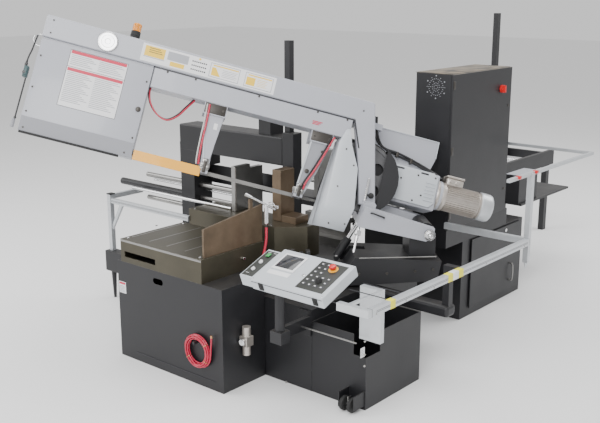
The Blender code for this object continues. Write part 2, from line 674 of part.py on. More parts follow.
def build_drive_unit():
    gearbox = block("gearbox", (0.83, 0.060, 0.145), (1.20, 0.285, 0.415), "grey", HEAD, bevel=0.012)
    join(
        gearbox,
        block("gearbox_output", (0.50, 0.075, 0.15), (0.86, 0.27, 0.35), "grey", HEAD, bevel=0.01),
        rod("gearbox_flange", (1.19, 0.17, 0.285), (1.245, 0.17, 0.285), 0.11, "grey", HEAD, sides=32),
        rod("output_shaft", (DRIVE_U, -0.030, WHEEL_RADIUS), (DRIVE_U, 0.09, WHEEL_RADIUS), 0.0200, "grey",
            HEAD, sides=24),
        rod("output_boss", (DRIVE_U, 0.0363, WHEEL_RADIUS), (DRIVE_U, 0.09, WHEEL_RADIUS), 0.07, "grey",
            HEAD, sides=24),
        block("torque_foot", (0.50, 0.12, 0.30), (0.56, 0.25, 0.40), "grey", HEAD),
    )
    motor = rod("motor", (1.2453, 0.17, 0.285), (1.56, 0.17, 0.285), 0.098, "silver", HEAD, sides=32)
    join(
        motor,
        block("terminal_box", (1.27, 0.115, 0.36), (1.40, 0.225, 0.445), "silver", HEAD, bevel=0.01),
        rod("motor_foot_ring", (1.2453, 0.17, 0.285), (1.275, 0.17, 0.285), 0.108, "silver", HEAD, sides=32),
    )
    cowl = rod("fan_cowl", (1.555, 0.17, 0.285), (1.655, 0.17, 0.285), 0.106, "silver", HEAD, sides=32)
    join(motor, add_bevel(cowl, 0.014, 3))
    panel = [(0.66, 0.60), (0.62, 0.700), (1.190, 0.700), (1.190, 0.56), (1.16, 0.455), (0.86, 0.44),
             (0.70, 0.46)]
    sheet = plate("drive_panel", panel, "XZ", 0.262, 0.268, "grey", HEAD)
    join(sheet, block("panel_arm", (0.50, 0.0905, 0.635), (0.70, 0.266, 0.68), "grey", HEAD))
    join(sheet, block("panel_foot", (0.88, 0.20, 0.4155), (0.98, 0.266, 0.46), "grey", HEAD))


def build_blade_guides():
    left = block("left_guide_arm", (-0.60, -0.088, 0.395), (-0.44, 0.06, 0.4755), "black", HEAD)
    blade_arm = [(-0.585, 0.41), (-0.45, 0.41), (-0.470, 0.20), (-0.472, 0.03), (-0.530, 0.03),
                 (-0.545, 0.20)]
    join(
        left,
        plate("left_arm_plate", blade_arm, "XZ", -0.070, -0.045, "grey", HEAD),
        block("left_guide_block", (-0.532, -0.068, -0.010), (-0.470, 0.045, 0.060), "silver", HEAD),
    )
    slot = block("left_slot_cutter", (-0.56, -0.018, -0.04), (-0.44, 0.018, 0.018), "silver", HEAD)
    cut(left, slot)
    join(left, block("blade_guard", (-0.985, -0.072, -0.036), (-0.525, -0.066, 0.028), "yellow", HEAD))
    right = block("right_guide_arm", (0.17, -0.088, 0.395), (0.33, 0.06, 0.4755), "black", HEAD)
    arm = [(0.185, 0.41), (0.325, 0.41), (0.262, 0.16), (0.215, 0.015), (0.150, 0.015), (0.165, 0.20)]
    join(
        right,
        plate("right_arm_plate", arm, "XZ", -0.070, -0.045, "grey", HEAD),
        block("right_guide_block", (0.150, -0.068, -0.010), (0.212, 0.045, 0.060), "silver", HEAD),
    )
    slot = block("right_slot_cutter", (0.12, -0.018, -0.04), (0.25, 0.018, 0.018), "silver", HEAD)
    cut(right, slot)


def build_beacon():
    u = -1.18
    base = rod("beacon", (u, 0, BEAM_TOP + GAP), (u, 0, BEAM_TOP + 0.065), 0.033, "amber", HEAD)
    low, high = (u, 0, BEAM_TOP + 0.06), (u, 0, BEAM_TOP + 0.125)
    join(base, rod("beacon_dome", low, high, 0.030, "amber", HEAD, end_radius=0.022))


def build_head():
    build_head_frame()
    build_rail_cover()
    build_idler_housing()
    wheel("idler_wheel", IDLER_U, "silver")
    wheel("drive_wheel", DRIVE_U, "silver")
    build_blade()
    build_drive_end()
    build_drive_unit()
    build_blade_guides()
    build_beacon()


# Turret that carries the head's pivot, in a space whose X axis runs out to the pivot

def build_turret():
    side = [(-0.20, BASE_TOP + GAP), (0.75, BASE_TOP + 0.02), (1.16, 0.615), (1.19, 0.76), (0.57, 0.80),
            (0.50, 0.70),
            (-0.20, 0.68)]
    arm = plate("turret_arm", side, "XZ", -0.20, 0.20, "black", TURRET)
    join(arm, rod("turret_ring", (0, 0, BASE_TOP + GAP), (0, 0, 0.66), 0.235, "black", TURRET, sides=40))
    bracket = block("pivot_bracket", (0.97, -0.12, 0.75), (1.16, 0.12, 0.92), "black", TURRET)
    join(
        arm,
        bracket,
        rod("pivot_boss", (PIVOT_OUT, -0.12, PIVOT_HEIGHT), (PIVOT_OUT, 0.12, PIVOT_HEIGHT), 0.06, "black",
            TURRET),
        block("pivot_web", (1.03, -0.12, 0.88), (1.15, 0.12, 0.95), "black", TURRET),
    )
    # Room for the lift barrel, which leans over as the head goes down
    cut(arm,
        block("barrel_room_cutter", (0.495, LIFT_SIDE - 0.037, 0.700), (0.68, LIFT_SIDE + 0.037, 0.83),
              "black",
                   TURRET))
    cut(arm,
        rod("pivot_bore_cutter", (PIVOT_OUT, -0.3, PIVOT_HEIGHT), (PIVOT_OUT, 0.3, PIVOT_HEIGHT), 0.0306,
            "black",
                 TURRET, sides=24))
    rod("pivot_shaft", (PIVOT_OUT, -0.225, PIVOT_HEIGHT), (PIVOT_OUT, 0.225, PIVOT_HEIGHT), 0.0300,
        "chrome", TURRET,
        sides=24)


def build_lift_cylinder():
    """The ram that raises the head, from a lug on the turret to just under the head's cross plate."""
    base = Vector((LIFT_BASE[0], LIFT_SIDE, LIFT_BASE[1]))
    top = Vector((LIFT_TOP[0], LIFT_SIDE, LIFT_TOP[1]))
    along = (top - base).normalized()
    side = Vector((0, 0.018, 0))
    body = rod("lift_cylinder", base + along * 0.012, base + along * 0.17, 0.032, "black", TURRET, base)
    cut(body,
        rod("lift_bore_cutter", base + along * 0.045, base + along * 0.30, 0.0180, "black", TURRET, base))
    join(body, rod("cylinder_eye", base - side, base + side, 0.020, "black", TURRET, base))
    ram = rod("lift_rod", base + along * 0.145, top, 0.0155, "chrome", TURRET, top)
    join(ram, rod("rod_eye", top - side, top + side, 0.020, "chrome", TURRET, top))


# Rear: electrical cabinet, feed conveyor and shuttle

def build_rear_base():
    base = block("rear_base", (-0.30, 1.534, 0.0), (0.667, 2.56, 0.67), "black")
    cut(base, block("rear_hollow_cutter", (-0.295, 1.539, -0.05), (0.662, 2.555, 0.664), "black"))
    ledge = block("cabinet_plinth", (0.30, 1.267, 0.666), (0.672, 2.25, 0.81), "black")
    join(base, ledge)
    cabinet = tray("electrical_cabinet", (0.357, 1.267, 0.81 + GAP), (0.664, 2.19, 2.01), (1, 0, 0),
                   "black", wall=0.004)
    shelf = block("cabinet_backplate", (0.40, 1.30, 0.86), (0.412, 2.15, 1.96), "silver")
    join(cabinet, shelf, block("backplate_rail", (0.359, 1.6, 0.9), (0.405, 1.8, 1.9), "silver"))
    door_hinge = (0.673, 1.267, 1.4)
    block("cabinet_door", (0.6645, 1.267, 0.813), (0.682, 2.19, 2.01), "black", origin=door_hinge,
          bevel=0.003)
    centre = (0.6825, 2.02, 1.845)
    switch = rod("main_disconnect", centre, (0.706, 2.02, 1.845), 0.032, "red", origin=centre)
    join(switch, block("switch_grip", (0.70, 2.012, 1.817), (0.722, 2.028, 1.873), "red", origin=centre))
    block("lower_door", (0.6723, 1.66, 0.07), (0.684, 2.50, 0.655), "black", origin=(0.678, 2.50, 0.36),
          bevel=0.003)


def build_conveyor():
    frame = block("conveyor_frame", (-0.66, 2.60, 0.74), (-0.62, 4.72, 0.90), "black")
    join(
        frame,
        block("conveyor_right", (-0.10, 2.60, 0.74), (-0.06, 4.72, 0.90), "black"),
        block("conveyor_end", (-0.63, 4.68, 0.74), (-0.09, 4.72, 0.86), "black"),
        block("conveyor_start", (-0.63, 2.60, 0.6703), (-0.09, 2.64, 0.80), "black"),
        block("rear_shelf", (-0.07, 2.62, 0.748), (0.62, 3.60, 0.766), "black"),
    )
    for number, x in enumerate((-0.64, -0.14)):
        join(frame, block(f"conveyor_leg_{number + 1}", (x, 4.60, 0.0), (x + 0.06, 4.67, 0.78), "black"))
    block("rear_post", (-0.105, 3.28, 0.90 + GAP), (-0.055, 3.33, 2.40), "black")
    for number in range(2):
        y = 3.25 + 0.80 * number
        rod(f"roller_{number + 1}", (-0.612, y, 0.858), (-0.108, y, 0.858), 0.040, "chrome",
            origin=(-0.36, y, 0.858))
    join(frame, block("guard_box", (0.46, 2.60, 0.755), (0.60, 2.95, 1.02), "black"))


def build_shuttle():
    rails = rod("shuttle_rails", (-0.52, 1.10, SHUTTLE_Z), (-0.52, 2.56, SHUTTLE_Z), 0.022, "chrome")
    join(
        rails,
        rod("shuttle_rail_right", (-0.20, 1.10, SHUTTLE_Z), (-0.20, 2.56, SHUTTLE_Z), 0.022, "chrome"),
        block("rail_block_near", (-0.58, 1.06, 0.62), (-0.14, 1.12, 0.81), "chrome"),
        block("rail_block_far", (-0.58, 2.54, 0.6703), (-0.14, 2.598, 0.81), "chrome"),
        block("rail_bracket", (-0.58, 0.9803, 0.40), (-0.14, 1.10, 0.65), "chrome"),
    )
    carriage = block("shuttle_carriage", (-1.05, 1.25, 0.80), (-0.10, 1.50, 0.88), "black", bevel=0.004)
    join(carriage, block("shuttle_fixed_jaw", (-0.203, 1.26, 0.87), (-0.12, 1.49, 1.30), "black"))
    for number, x in enumerate((-0.52, -0.20)):
        join(carriage, block(f"runner_{number}", (x - 0.04, 1.27, 0.70), (x + 0.04, 1.48, 0.81), "black"))
        cut(carriage, rod("runner_bore_cutter", (x, 1.0, SHUTTLE_Z), (x, 1.7, SHUTTLE_Z), 0.0228, "black"))
    jaw = block("shuttle_jaw", (-0.66, 1.27, 0.881), (-0.60, 1.48, 1.28), "steel", bevel=0.003)
    join(jaw, rod("shuttle_ram", (-1.04, 1.375, 1.00), (-0.65, 1.375, 1.00), 0.02, "steel", sides=14))


# Barrier rails

def build_rails():
    half = RAIL_HALF
    z = RAIL_HEIGHT
    block("barrier_side", (1.352, -0.700, z - half), (1.388, 1.225, z + half), "rail")
    front = block("barrier_front", (1.160, -0.738, z - half), (1.388, -0.7003, z + half), "rail")
    stay = block("rail_stay", (1.160, -0.7003, z - 0.03), (1.180, -0.28, z - 0.012), "rail")
    join(front, stay, block("stay_foot", (1.02, -0.32, 0.5003), (1.180, -0.28, z - 0.012), "rail"))
    rear = block("rear_guard_rail", (0.674, 1.2253, z - half), (1.375, 1.255, z + half), "rail")
    join(
        rear,
        block("barrier_post", (1.340, 1.2253, 0.70), (1.380, 1.262, 1.360), "rail"),
        rod("post_tip", (1.36, 1.2437, 0.655), (1.36, 1.2437, 0.705), 0.004, "rail", end_radius=0.018,
            sides=8),
        block("upper_rail_side", (1.348, 0.900, 1.3453), (1.372, 2.300, 1.370), "rail"),
        block("upper_rail_back", (0.50, 2.2903, 1.3453), (1.371, 2.312, 1.369), "rail"),
    )


def build_fence():
    x, y = FENCE_X, FENCE_Y
    post = block("fence_post", (x - 0.02, y - 0.02, 0.4303), (x + 0.02, y + 0.02, 0.93), "rail")
    block("fence_rail_front", (x + 0.0203, y - 0.015, FENCE_TOP - 0.02),
          (-0.9503, y + 0.015, FENCE_TOP + 0.02), "rail")
    join(post, block("fence_rail_side", (x - 0.015, y + 0.01, 0.885), (x + 0.015, 0.43, 0.925), "rail"))
    brace = [(x + 0.01, 0.60), (x + 0.01, 0.64), (x + 0.13, FENCE_TOP - 0.0203),
             (x + 0.17, FENCE_TOP - 0.0203)]
    join(post, plate("fence_brace", brace, "XZ", y - 0.010, y + 0.010, "rail"))


def build_all():
    build_discharge_side()
    build_main_base()
    build_coolant_tank()
    build_console()
    build_vise()
    build_vise_jaw()
    build_turret()
    build_lift_cylinder()
    build_head()
    build_rear_base()
    build_conveyor()
    build_shuttle()
    build_rails()
    build_fence()


clear_scene()
PARTS = new_collection("band_saw")
CUTTERS = new_collection("cutters")
TURRET = empty("mitre_axis", (0, 0, 0), (0, 0, MITRE))
ARM_SPACE = empty("head_axis", (PIVOT_OUT, 0, PIVOT_HEIGHT), (0, LIFT, 0), TURRET)
HEAD_TURN = Euler((0, 0, MITRE)).to_matrix() @ Euler((0, LIFT, 0)).to_matrix() @ Euler((-CANT, 0,
                                                                                        0)).to_matrix()
HEAD_MATRIX = Matrix.Translation((0, 0, BLADE_LINE_RAISED)) @ HEAD_TURN.to_4x4()
HEAD = empty("head_space", (0, 0, 0), (0, 0, 0), ARM_SPACE)
bpy.context.view_layer.update()
HEAD.matrix_world = HEAD_MATRIX
build_all()
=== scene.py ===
"""Looks of the mitre band saw: materials, covers, labels, hoses, fasteners and small fittings.

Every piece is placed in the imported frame, in metres. Head pieces use the head's own space: u along the
blade towards the drive end, v away from the doors, w up from the blade's cutting line.
"""

import math

import bmesh
import bpy
from mathutils import Euler, Matrix, Vector


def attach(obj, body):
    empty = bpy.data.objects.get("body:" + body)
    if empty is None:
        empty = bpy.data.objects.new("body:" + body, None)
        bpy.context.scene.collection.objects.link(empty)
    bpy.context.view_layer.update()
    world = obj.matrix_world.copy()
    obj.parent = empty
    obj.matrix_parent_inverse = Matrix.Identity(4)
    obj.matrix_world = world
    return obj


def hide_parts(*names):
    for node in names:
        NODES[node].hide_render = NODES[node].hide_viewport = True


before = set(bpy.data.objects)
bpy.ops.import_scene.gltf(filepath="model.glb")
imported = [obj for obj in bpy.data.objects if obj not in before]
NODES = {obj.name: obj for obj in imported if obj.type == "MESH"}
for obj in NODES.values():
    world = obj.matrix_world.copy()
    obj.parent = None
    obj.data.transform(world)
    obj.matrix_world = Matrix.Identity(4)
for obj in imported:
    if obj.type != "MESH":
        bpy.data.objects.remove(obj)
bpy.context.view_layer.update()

# Spaces of the design, as the CAD places them
MITRE, LIFT, CANT = (math.radians(angle) for angle in (45.0, 15.5, 18.5))
CONSOLE_TILT = math.radians(20.6)
WORLD = Matrix.Identity(4)
TURRET = Euler((0, 0, MITRE)).to_matrix().to_4x4()
TILT_DOWN = Euler((0, LIFT, 0)).to_matrix().to_4x4()
HEAD = Matrix.Translation((0, 0, 1.253)) @ TURRET @ TILT_DOWN @ Euler((-CANT, 0, 0)).to_matrix().to_4x4()
CONSOLE = Matrix.Translation((0.62, -0.62, 0.90)) @ Euler((CONSOLE_TILT, 0, 0)).to_matrix().to_4x4()

WHEEL_RADIUS = 0.25
IDLER_U, DRIVE_U = -1.37, 0.60
BAND_WIDTH, BAND_THICK = 0.032, 0.0016
DOOR_V, FRAME_V, COVER_V, GUARD_V = -0.100, -0.090, -0.088, -0.098
CONSOLE_FACE = 0.109
DOOR_SWING_ROOM = 0.033


# Materials

def add_node(tree, kind, values=None, **settings):
    node = tree.nodes.new(kind)
    for key, value in settings.items():
        setattr(node, key, value)
    for key, value in (values or {}).items():
        node.inputs[key].default_value = value
    return node


def scaled(colour, factor):
    return tuple(min(1.0, channel * factor) for channel in colour) + (1.0,)


def surface(name, base, rough, metallic=0.0, tint=0.12, cloud=5.0, fine=380.0, bump=0.12,
            stretch=(1, 1, 1), wear=None, worn=0.5, dust=None, coat=0.0, edge=0.002):
    """A procedural finish: cloudy colour, fine grain, rounded and worn edges, and dust on top faces."""
    material = bpy.data.materials.new(name)
    material.use_nodes = True
    tree = material.node_tree
    link = tree.links.new
    shader = tree.nodes["Principled BSDF"]
    shader.inputs["Metallic"].default_value = metallic
    shader.inputs["Coat Weight"].default_value = coat
    place = add_node(tree, "ShaderNodeTexCoord")
    grain_place = add_node(tree, "ShaderNodeMapping", {"Scale": stretch})
    link(place.outputs["Object"], grain_place.inputs["Vector"])
    clouds = add_node(tree, "ShaderNodeTexNoise", {"Scale": cloud, "Detail": 6.0, "Roughness": 0.62})
    link(place.outputs["Object"], clouds.inputs["Vector"])
    grain = add_node(tree, "ShaderNodeTexNoise", {"Scale": fine, "Detail": 3.0})
    link(grain_place.outputs["Vector"], grain.inputs["Vector"])
    colour = add_node(tree, "ShaderNodeMix", data_type="RGBA")
    colour.inputs["A"].default_value = scaled(base, 1 - tint)
    colour.inputs["B"].default_value = scaled(base, 1 + tint)
    link(clouds.outputs["Fac"], colour.inputs["Factor"])
    result = colour.outputs["Result"]

    bevel = add_node(tree, "ShaderNodeBevel", {"Radius": edge}, samples=4)
    geometry = add_node(tree, "ShaderNodeNewGeometry")
    if wear:
        agree = add_node(tree, "ShaderNodeVectorMath", operation="DOT_PRODUCT")
        link(bevel.outputs["Normal"], agree.inputs[0])
        link(geometry.outputs["Normal"], agree.inputs[1])
        rubbed = add_node(tree, "ShaderNodeMapRange", {"From Min": 0.995, "From Max": 0.90})
        link(agree.outputs["Value"], rubbed.inputs["Value"])
        patches = add_node(tree, "ShaderNodeTexNoise", {"Scale": 34.0, "Detail": 5.0})
        link(place.outputs["Object"], patches.inputs["Vector"])
        broken = add_node(tree, "ShaderNodeMapRange", {"From Min": 0.42, "From Max": 0.62, "To Max": worn})
        link(patches.outputs["Fac"], broken.inputs["Value"])
        amount = add_node(tree, "ShaderNodeMath", operation="MULTIPLY")
        link(rubbed.outputs["Result"], amount.inputs[0])
        link(broken.outputs["Result"], amount.inputs[1])
        worn_colour = add_node(tree, "ShaderNodeMix", data_type="RGBA")
        worn_colour.inputs["B"].default_value = (*wear, 1)
        link(amount.outputs["Value"], worn_colour.inputs["Factor"])
        link(result, worn_colour.inputs["A"])
        result = worn_colour.outputs["Result"]
    if dust:
        shade, most = dust
        up = add_node(tree, "ShaderNodeSeparateXYZ")
        link(geometry.outputs["Normal"], up.inputs["Vector"])
        facing = add_node(tree, "ShaderNodeMapRange", {"From Min": 0.6, "From Max": 0.98, "To Max": most})
        link(up.outputs["Z"], facing.inputs["Value"])
        drift = add_node(tree, "ShaderNodeTexNoise", {"Scale": 9.0, "Detail": 7.0})
        link(place.outputs["Object"], drift.inputs["Vector"])
        spread = add_node(tree, "ShaderNodeMapRange", {"From Min": 0.3, "From Max": 0.6})
        link(drift.outputs["Fac"], spread.inputs["Value"])
        settled = add_node(tree, "ShaderNodeMath", operation="MULTIPLY")
        link(facing.outputs["Result"], settled.inputs[0])
        link(spread.outputs["Result"], settled.inputs[1])
        dusty = add_node(tree, "ShaderNodeMix", data_type="RGBA")
        dusty.inputs["B"].default_value = (*shade, 1)
        link(settled.outputs["Value"], dusty.inputs["Factor"])
        link(result, dusty.inputs["A"])
        result = dusty.outputs["Result"]
    link(result, shader.inputs["Base Color"])

    matte = add_node(tree, "ShaderNodeMapRange", {"To Min": rough - 0.08, "To Max": rough + 0.10})
    link(clouds.outputs["Fac"], matte.inputs["Value"])
    link(matte.outputs["Result"], shader.inputs["Roughness"])
    relief = add_node(tree, "ShaderNodeBump", {"Strength": bump, "Distance": 0.0006})
    link(grain.outputs["Fac"], relief.inputs["Height"])
    link(bevel.outputs["Normal"], relief.inputs["Normal"])
    link(relief.outputs["Normal"], shader.inputs["Normal"])
    return material


def lens(name, colour, rough, weight):
    material = surface(name, colour, rough, tint=0.06, bump=0.03, coat=0.6)
    shader = material.node_tree.nodes["Principled BSDF"]
    shader.inputs["Transmission Weight"].default_value = weight
    shader.inputs["IOR"].default_value = 1.46
    return material


STEEL_SHOW = (0.32, 0.31, 0.30)
DUST = (0.20, 0.16, 0.11)
MATERIALS = {
    "black": surface("black_coat", (0.0105, 0.0105, 0.0125), 0.46, bump=0.30, fine=520, tint=0.30,
                     wear=STEEL_SHOW, worn=0.22, dust=((0.05, 0.045, 0.038), 0.35)),
    "cabinet": surface("cabinet_black", (0.0105, 0.0105, 0.0125), 0.42, bump=0.34, fine=620, tint=0.25,
                       wear=STEEL_SHOW, worn=0.12, dust=(DUST, 0.95)),
    "grey": surface("grey_enamel", (0.395, 0.405, 0.445), 0.34, bump=0.07, fine=260, tint=0.045,
                    wear=(0.14, 0.14, 0.145), worn=0.30, coat=0.15, edge=0.003),
    "pale": surface("pale_enamel", (0.50, 0.53, 0.56), 0.36, bump=0.08, fine=260, tint=0.06,
                    wear=(0.2, 0.2, 0.2), worn=0.3, coat=0.1),
    # A darker copy of the grey enamel: painted shade for folds, edges and faces that lie in shade
    "painted_shade_grey": surface("shaded_enamel", (0.27, 0.275, 0.30), 0.40, bump=0.07, fine=260, tint=0.05),
    "oily": surface("oily_steel", (0.070, 0.062, 0.042), 0.36, metallic=0.55, tint=0.55, cloud=3.2, fine=140,
                    stretch=(1, 9, 1), bump=0.22, wear=(0.45, 0.42, 0.36), worn=0.5),
    "jaw": surface("brown_steel", (0.16, 0.115, 0.075), 0.38, metallic=0.6, tint=0.6, cloud=7.0, fine=120,
                   stretch=(1, 1, 0.1), bump=0.25, wear=(0.5, 0.45, 0.38), worn=0.6),
    "steel": surface("worked_steel", (0.30, 0.295, 0.285), 0.30, metallic=0.9, tint=0.25, fine=240,
                     stretch=(1, 1, 0.08), bump=0.15, wear=(0.6, 0.58, 0.55), worn=0.5),
    "dark_steel": surface("dark_steel", (0.06, 0.055, 0.05), 0.40, metallic=0.7, tint=0.45, fine=200,
                          bump=0.25, wear=(0.35, 0.33, 0.30), worn=0.6),
    "chrome": surface("chromed_bar", (0.72, 0.72, 0.73), 0.14, metallic=1.0, tint=0.08, cloud=14, fine=300,
                      stretch=(0.05, 1, 1), bump=0.06),
    "cast": surface("cast_aluminium", (0.50, 0.46, 0.42), 0.38, metallic=0.75, tint=0.22, cloud=16, fine=320,
                    bump=0.30, wear=(0.75, 0.73, 0.70), worn=0.5),
    "rail": surface("anodised_rail", (0.56, 0.58, 0.60), 0.34, metallic=0.55, tint=0.10, cloud=18, fine=420,
                    stretch=(1, 0.04, 1), bump=0.10, wear=(0.75, 0.75, 0.75), worn=0.4),
    "iron": surface("wheel_iron", (0.13, 0.13, 0.135), 0.42, metallic=0.7, tint=0.25, cloud=12, bump=0.30,
                    wear=(0.5, 0.5, 0.5), worn=0.5),
    "rubber": surface("black_rubber", (0.014, 0.014, 0.014), 0.72, tint=0.30, bump=0.35, fine=300),
    "cable": surface("cable_jacket", (0.012, 0.012, 0.013), 0.38, tint=0.25, bump=0.12, coat=0.25),
    "red_hose": surface("red_hose", (0.46, 0.012, 0.045), 0.33, tint=0.18, bump=0.15, fine=500, coat=0.35),
    "white_hose": surface("clear_hose", (0.55, 0.55, 0.52), 0.30, tint=0.12, bump=0.08, coat=0.4),
    "yellow": surface("guard_yellow", (0.86, 0.40, 0.008), 0.36, tint=0.07, bump=0.08, wear=(0.3, 0.28, 0.2),
                      worn=0.6, coat=0.2),
    "tape": surface("yellow_tape", (0.83, 0.76, 0.03), 0.42, tint=0.10, bump=0.10),
    "teal": surface("switch_casting", (0.035, 0.075, 0.080), 0.40, tint=0.25, bump=0.20),
    "amber": lens("amber_lens", (1.0, 0.36, 0.015), 0.14, 0.35),
    "bowl": lens("clear_bowl", (0.80, 0.82, 0.80), 0.08, 0.85),
    "screen": surface("dark_screen", (0.010, 0.011, 0.014), 0.10, tint=0.25, bump=0.01, coat=0.8),
    "membrane": surface("key_membrane", (0.022, 0.024, 0.020), 0.48, tint=0.2, bump=0.12),
    "red": surface("red_moulding", (0.62, 0.012, 0.012), 0.28, tint=0.08, bump=0.05, coat=0.4),
    "green": surface("green_moulding", (0.03, 0.32, 0.07), 0.30, tint=0.08, bump=0.05, coat=0.4),
    "label": surface("label_white", (0.78, 0.78, 0.79), 0.42, tint=0.035, bump=0.03),
    "print_red": surface("print_red", (0.56, 0.006, 0.050), 0.42, tint=0.10, bump=0.02),
    "print_yellow": surface("print_yellow", (0.85, 0.55, 0.03), 0.42, tint=0.08, bump=0.02),
    "print_grey": surface("print_grey", (0.36, 0.37, 0.40), 0.50, tint=0.15, bump=0.02),
    "print_dark": surface("print_dark", (0.03, 0.03, 0.035), 0.50, tint=0.2, bump=0.02),
    "brass": surface("brass_fitting", (0.60, 0.42, 0.18), 0.28, metallic=1.0, tint=0.15, bump=0.12),
}

NODE_LOOKS = {
    "black": ("main_base", "front_cabinet", "coolant_tank", "console_arm", "bridge_arm", "bridge_column",
              "vise_cylinder", "rear_base", "lower_door", "conveyor_frame", "rear_post", "turret_arm",
              "lift_cylinder", "shuttle_carriage", "drive_housing"),
    "cabinet": ("electrical_cabinet", "cabinet_door"),
    "grey": ("head_frame", "rail_cover", "idler_housing", "gearbox", "drive_panel", "right_guide_arm",
             "left_guide_arm"),
    "pale": ("console",),
    "oily": ("discharge_table", "vise_bed"),
    "jaw": ("fixed_jaw", "table_fence"),
    "steel": ("vise_jaw", "shuttle_jaw", "shuttle_rails"),
    "chrome": ("pivot_shaft", "lift_rod", "roller_1", "roller_2", "gun_trigger", "wash_gun"),
    "iron": ("idler_wheel", "drive_wheel"),
    "rail": ("barrier_side", "barrier_front", "fence_post", "fence_rail_front", "rear_guard_rail"),
    "cast": ("air_unit",),
    "rubber": ("tank_wheels",),
    "red": ("main_disconnect",),
}


def dress_nodes():
    """Gives each carried-over CAD node its finish."""
    for finish, names in NODE_LOOKS.items():
        for name in names:
            NODES[name].data.materials.clear()
            NODES[name].data.materials.append(MATERIALS[finish])


# Shapes

class Shape:
    """Collects the forms of one piece in a space, and then makes one object of them."""

    def __init__(self, space=WORLD):
        self.space = space
        self.mesh = bmesh.new()

    def _round(self, verts, bevel, segments):
        if bevel:
            edges = {edge for vert in verts for edge in vert.link_edges}
            bmesh.ops.bevel(self.mesh, geom=list(edges), offset=bevel, segments=segments, profile=0.5,
                            affect="EDGES", clamp_overlap=True)

    def box(self, low, high, bevel=0.001, segments=2, turn=None):
        low, high = Vector(low), Vector(high)
        verts = bmesh.ops.create_cube(self.mesh, size=1.0)["verts"]
        bmesh.ops.scale(self.mesh, vec=high - low, verts=verts)
        if turn:
            bmesh.ops.rotate(self.mesh, verts=verts, cent=(0, 0, 0), matrix=Euler(turn).to_matrix())
        bmesh.ops.translate(self.mesh, vec=(low + high) / 2, verts=verts)
        self._round(verts, bevel, segments)
        return self

    def rod(self, start, end, radius, end_radius=None, sides=24, bevel=0.0):
        start, end = Vector(start), Vector(end)
        verts = bmesh.ops.create_cone(
            self.mesh, cap_ends=True, segments=sides, radius1=radius,
            radius2=radius if end_radius is None else end_radius, depth=(end - start).length,
        )["verts"]
        turn = Vector((0, 0, 1)).rotation_difference(end - start).to_matrix()
        bmesh.ops.rotate(self.mesh, verts=verts, cent=(0, 0, 0), matrix=turn)
        bmesh.ops.translate(self.mesh, vec=(start + end) / 2, verts=verts)
        self._round(verts if sides <= 8 else [], bevel, 1)
        return self

    def turned(self, start, direction, profile, sides=32):
        """Spins a profile of (distance along, radius) about a line; both ends close on the line."""
        turn = Vector((0, 0, 1)).rotation_difference(Vector(direction)).to_matrix()
        rings = []
        for along, radius in profile:
            ring = []
            for n in range(sides):
                angle = math.tau * n / sides
                spot = Vector((radius * math.cos(angle), radius * math.sin(angle), along))
                ring.append(self.mesh.verts.new(Vector(start) + turn @ spot))
            rings.append(ring)
        for ring, after in zip(rings, rings[1:]):
            for n in range(sides):
                m = (n + 1) % sides
                self.mesh.faces.new((ring[n], ring[m], after[m], after[n]))
        self.mesh.faces.new(rings[0][::-1])
        self.mesh.faces.new(rings[-1])
        return self

    def prism(self, outline, axis, low, high, bevel=0.0):
        """Draws a flat outline out along the x, y or z axis. The outline is in the other two axes' order."""
        def spot(point, depth):
            at = list(point)
            at.insert("xyz".index(axis), depth)
            return at
        near = [self.mesh.verts.new(spot(point, low)) for point in outline]
        far = [self.mesh.verts.new(spot(point, high)) for point in outline]
        count = len(outline)
        for n in range(count):
            m = (n + 1) % count
            self.mesh.faces.new((near[n], near[m], far[m], far[n]))
        self.mesh.faces.new(near[::-1])
        self.mesh.faces.new(far)
        self._round(near + far, bevel, 1)
        return self

    def pipe(self, points, radius, sides=10):
        """A round bar swept along points."""
        points = [Vector(point) for point in points]
        side = None
        rings = []
        for n, point in enumerate(points):
            ahead = (points[min(n + 1, len(points) - 1)] - points[max(n - 1, 0)]).normalized()
            if side is None:
                side = ahead.orthogonal().normalized()
            side = (side - ahead * side.dot(ahead)).normalized()
            other = ahead.cross(side)
            rings.append([
                self.mesh.verts.new(point + radius * (side * math.cos(a) + other * math.sin(a)))
                for a in (math.tau * k / sides for k in range(sides))
            ])
        for ring, after in zip(rings, rings[1:]):
            for n in range(sides):
                m = (n + 1) % sides
                self.mesh.faces.new((ring[n], ring[m], after[m], after[n]))
        self.mesh.faces.new(rings[0][::-1])
        self.mesh.faces.new(rings[-1])
        return self

    def screw(self, place, outward, radius=0.006):
        """A socket head screw: a low crowned head with a dark-looking hollow."""
        depth = radius * 0.55
        profile = [(0, radius), (depth * 0.7, radius), (depth, radius * 0.8), (depth, radius * 0.45),
                   (depth * 0.35, radius * 0.42)]
        return self.turned(place, outward, profile, sides=12)

    def make(self, name, finish, body, slot, replaces=()):
        bmesh.ops.recalc_face_normals(self.mesh, faces=self.mesh.faces)
        self.mesh.transform(self.space)
        mesh = bpy.data.meshes.new(name)
        self.mesh.to_mesh(mesh)
        self.mesh.free()
        mesh.shade_smooth()
        mesh.set_sharp_from_angle(angle=math.radians(35))
        mesh.materials.append(MATERIALS[finish])
        piece = bpy.data.objects.new(name, mesh)
        bpy.context.scene.collection.objects.link(piece)
        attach(piece, body)
        if replaces:
            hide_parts(*replaces)
        return piece


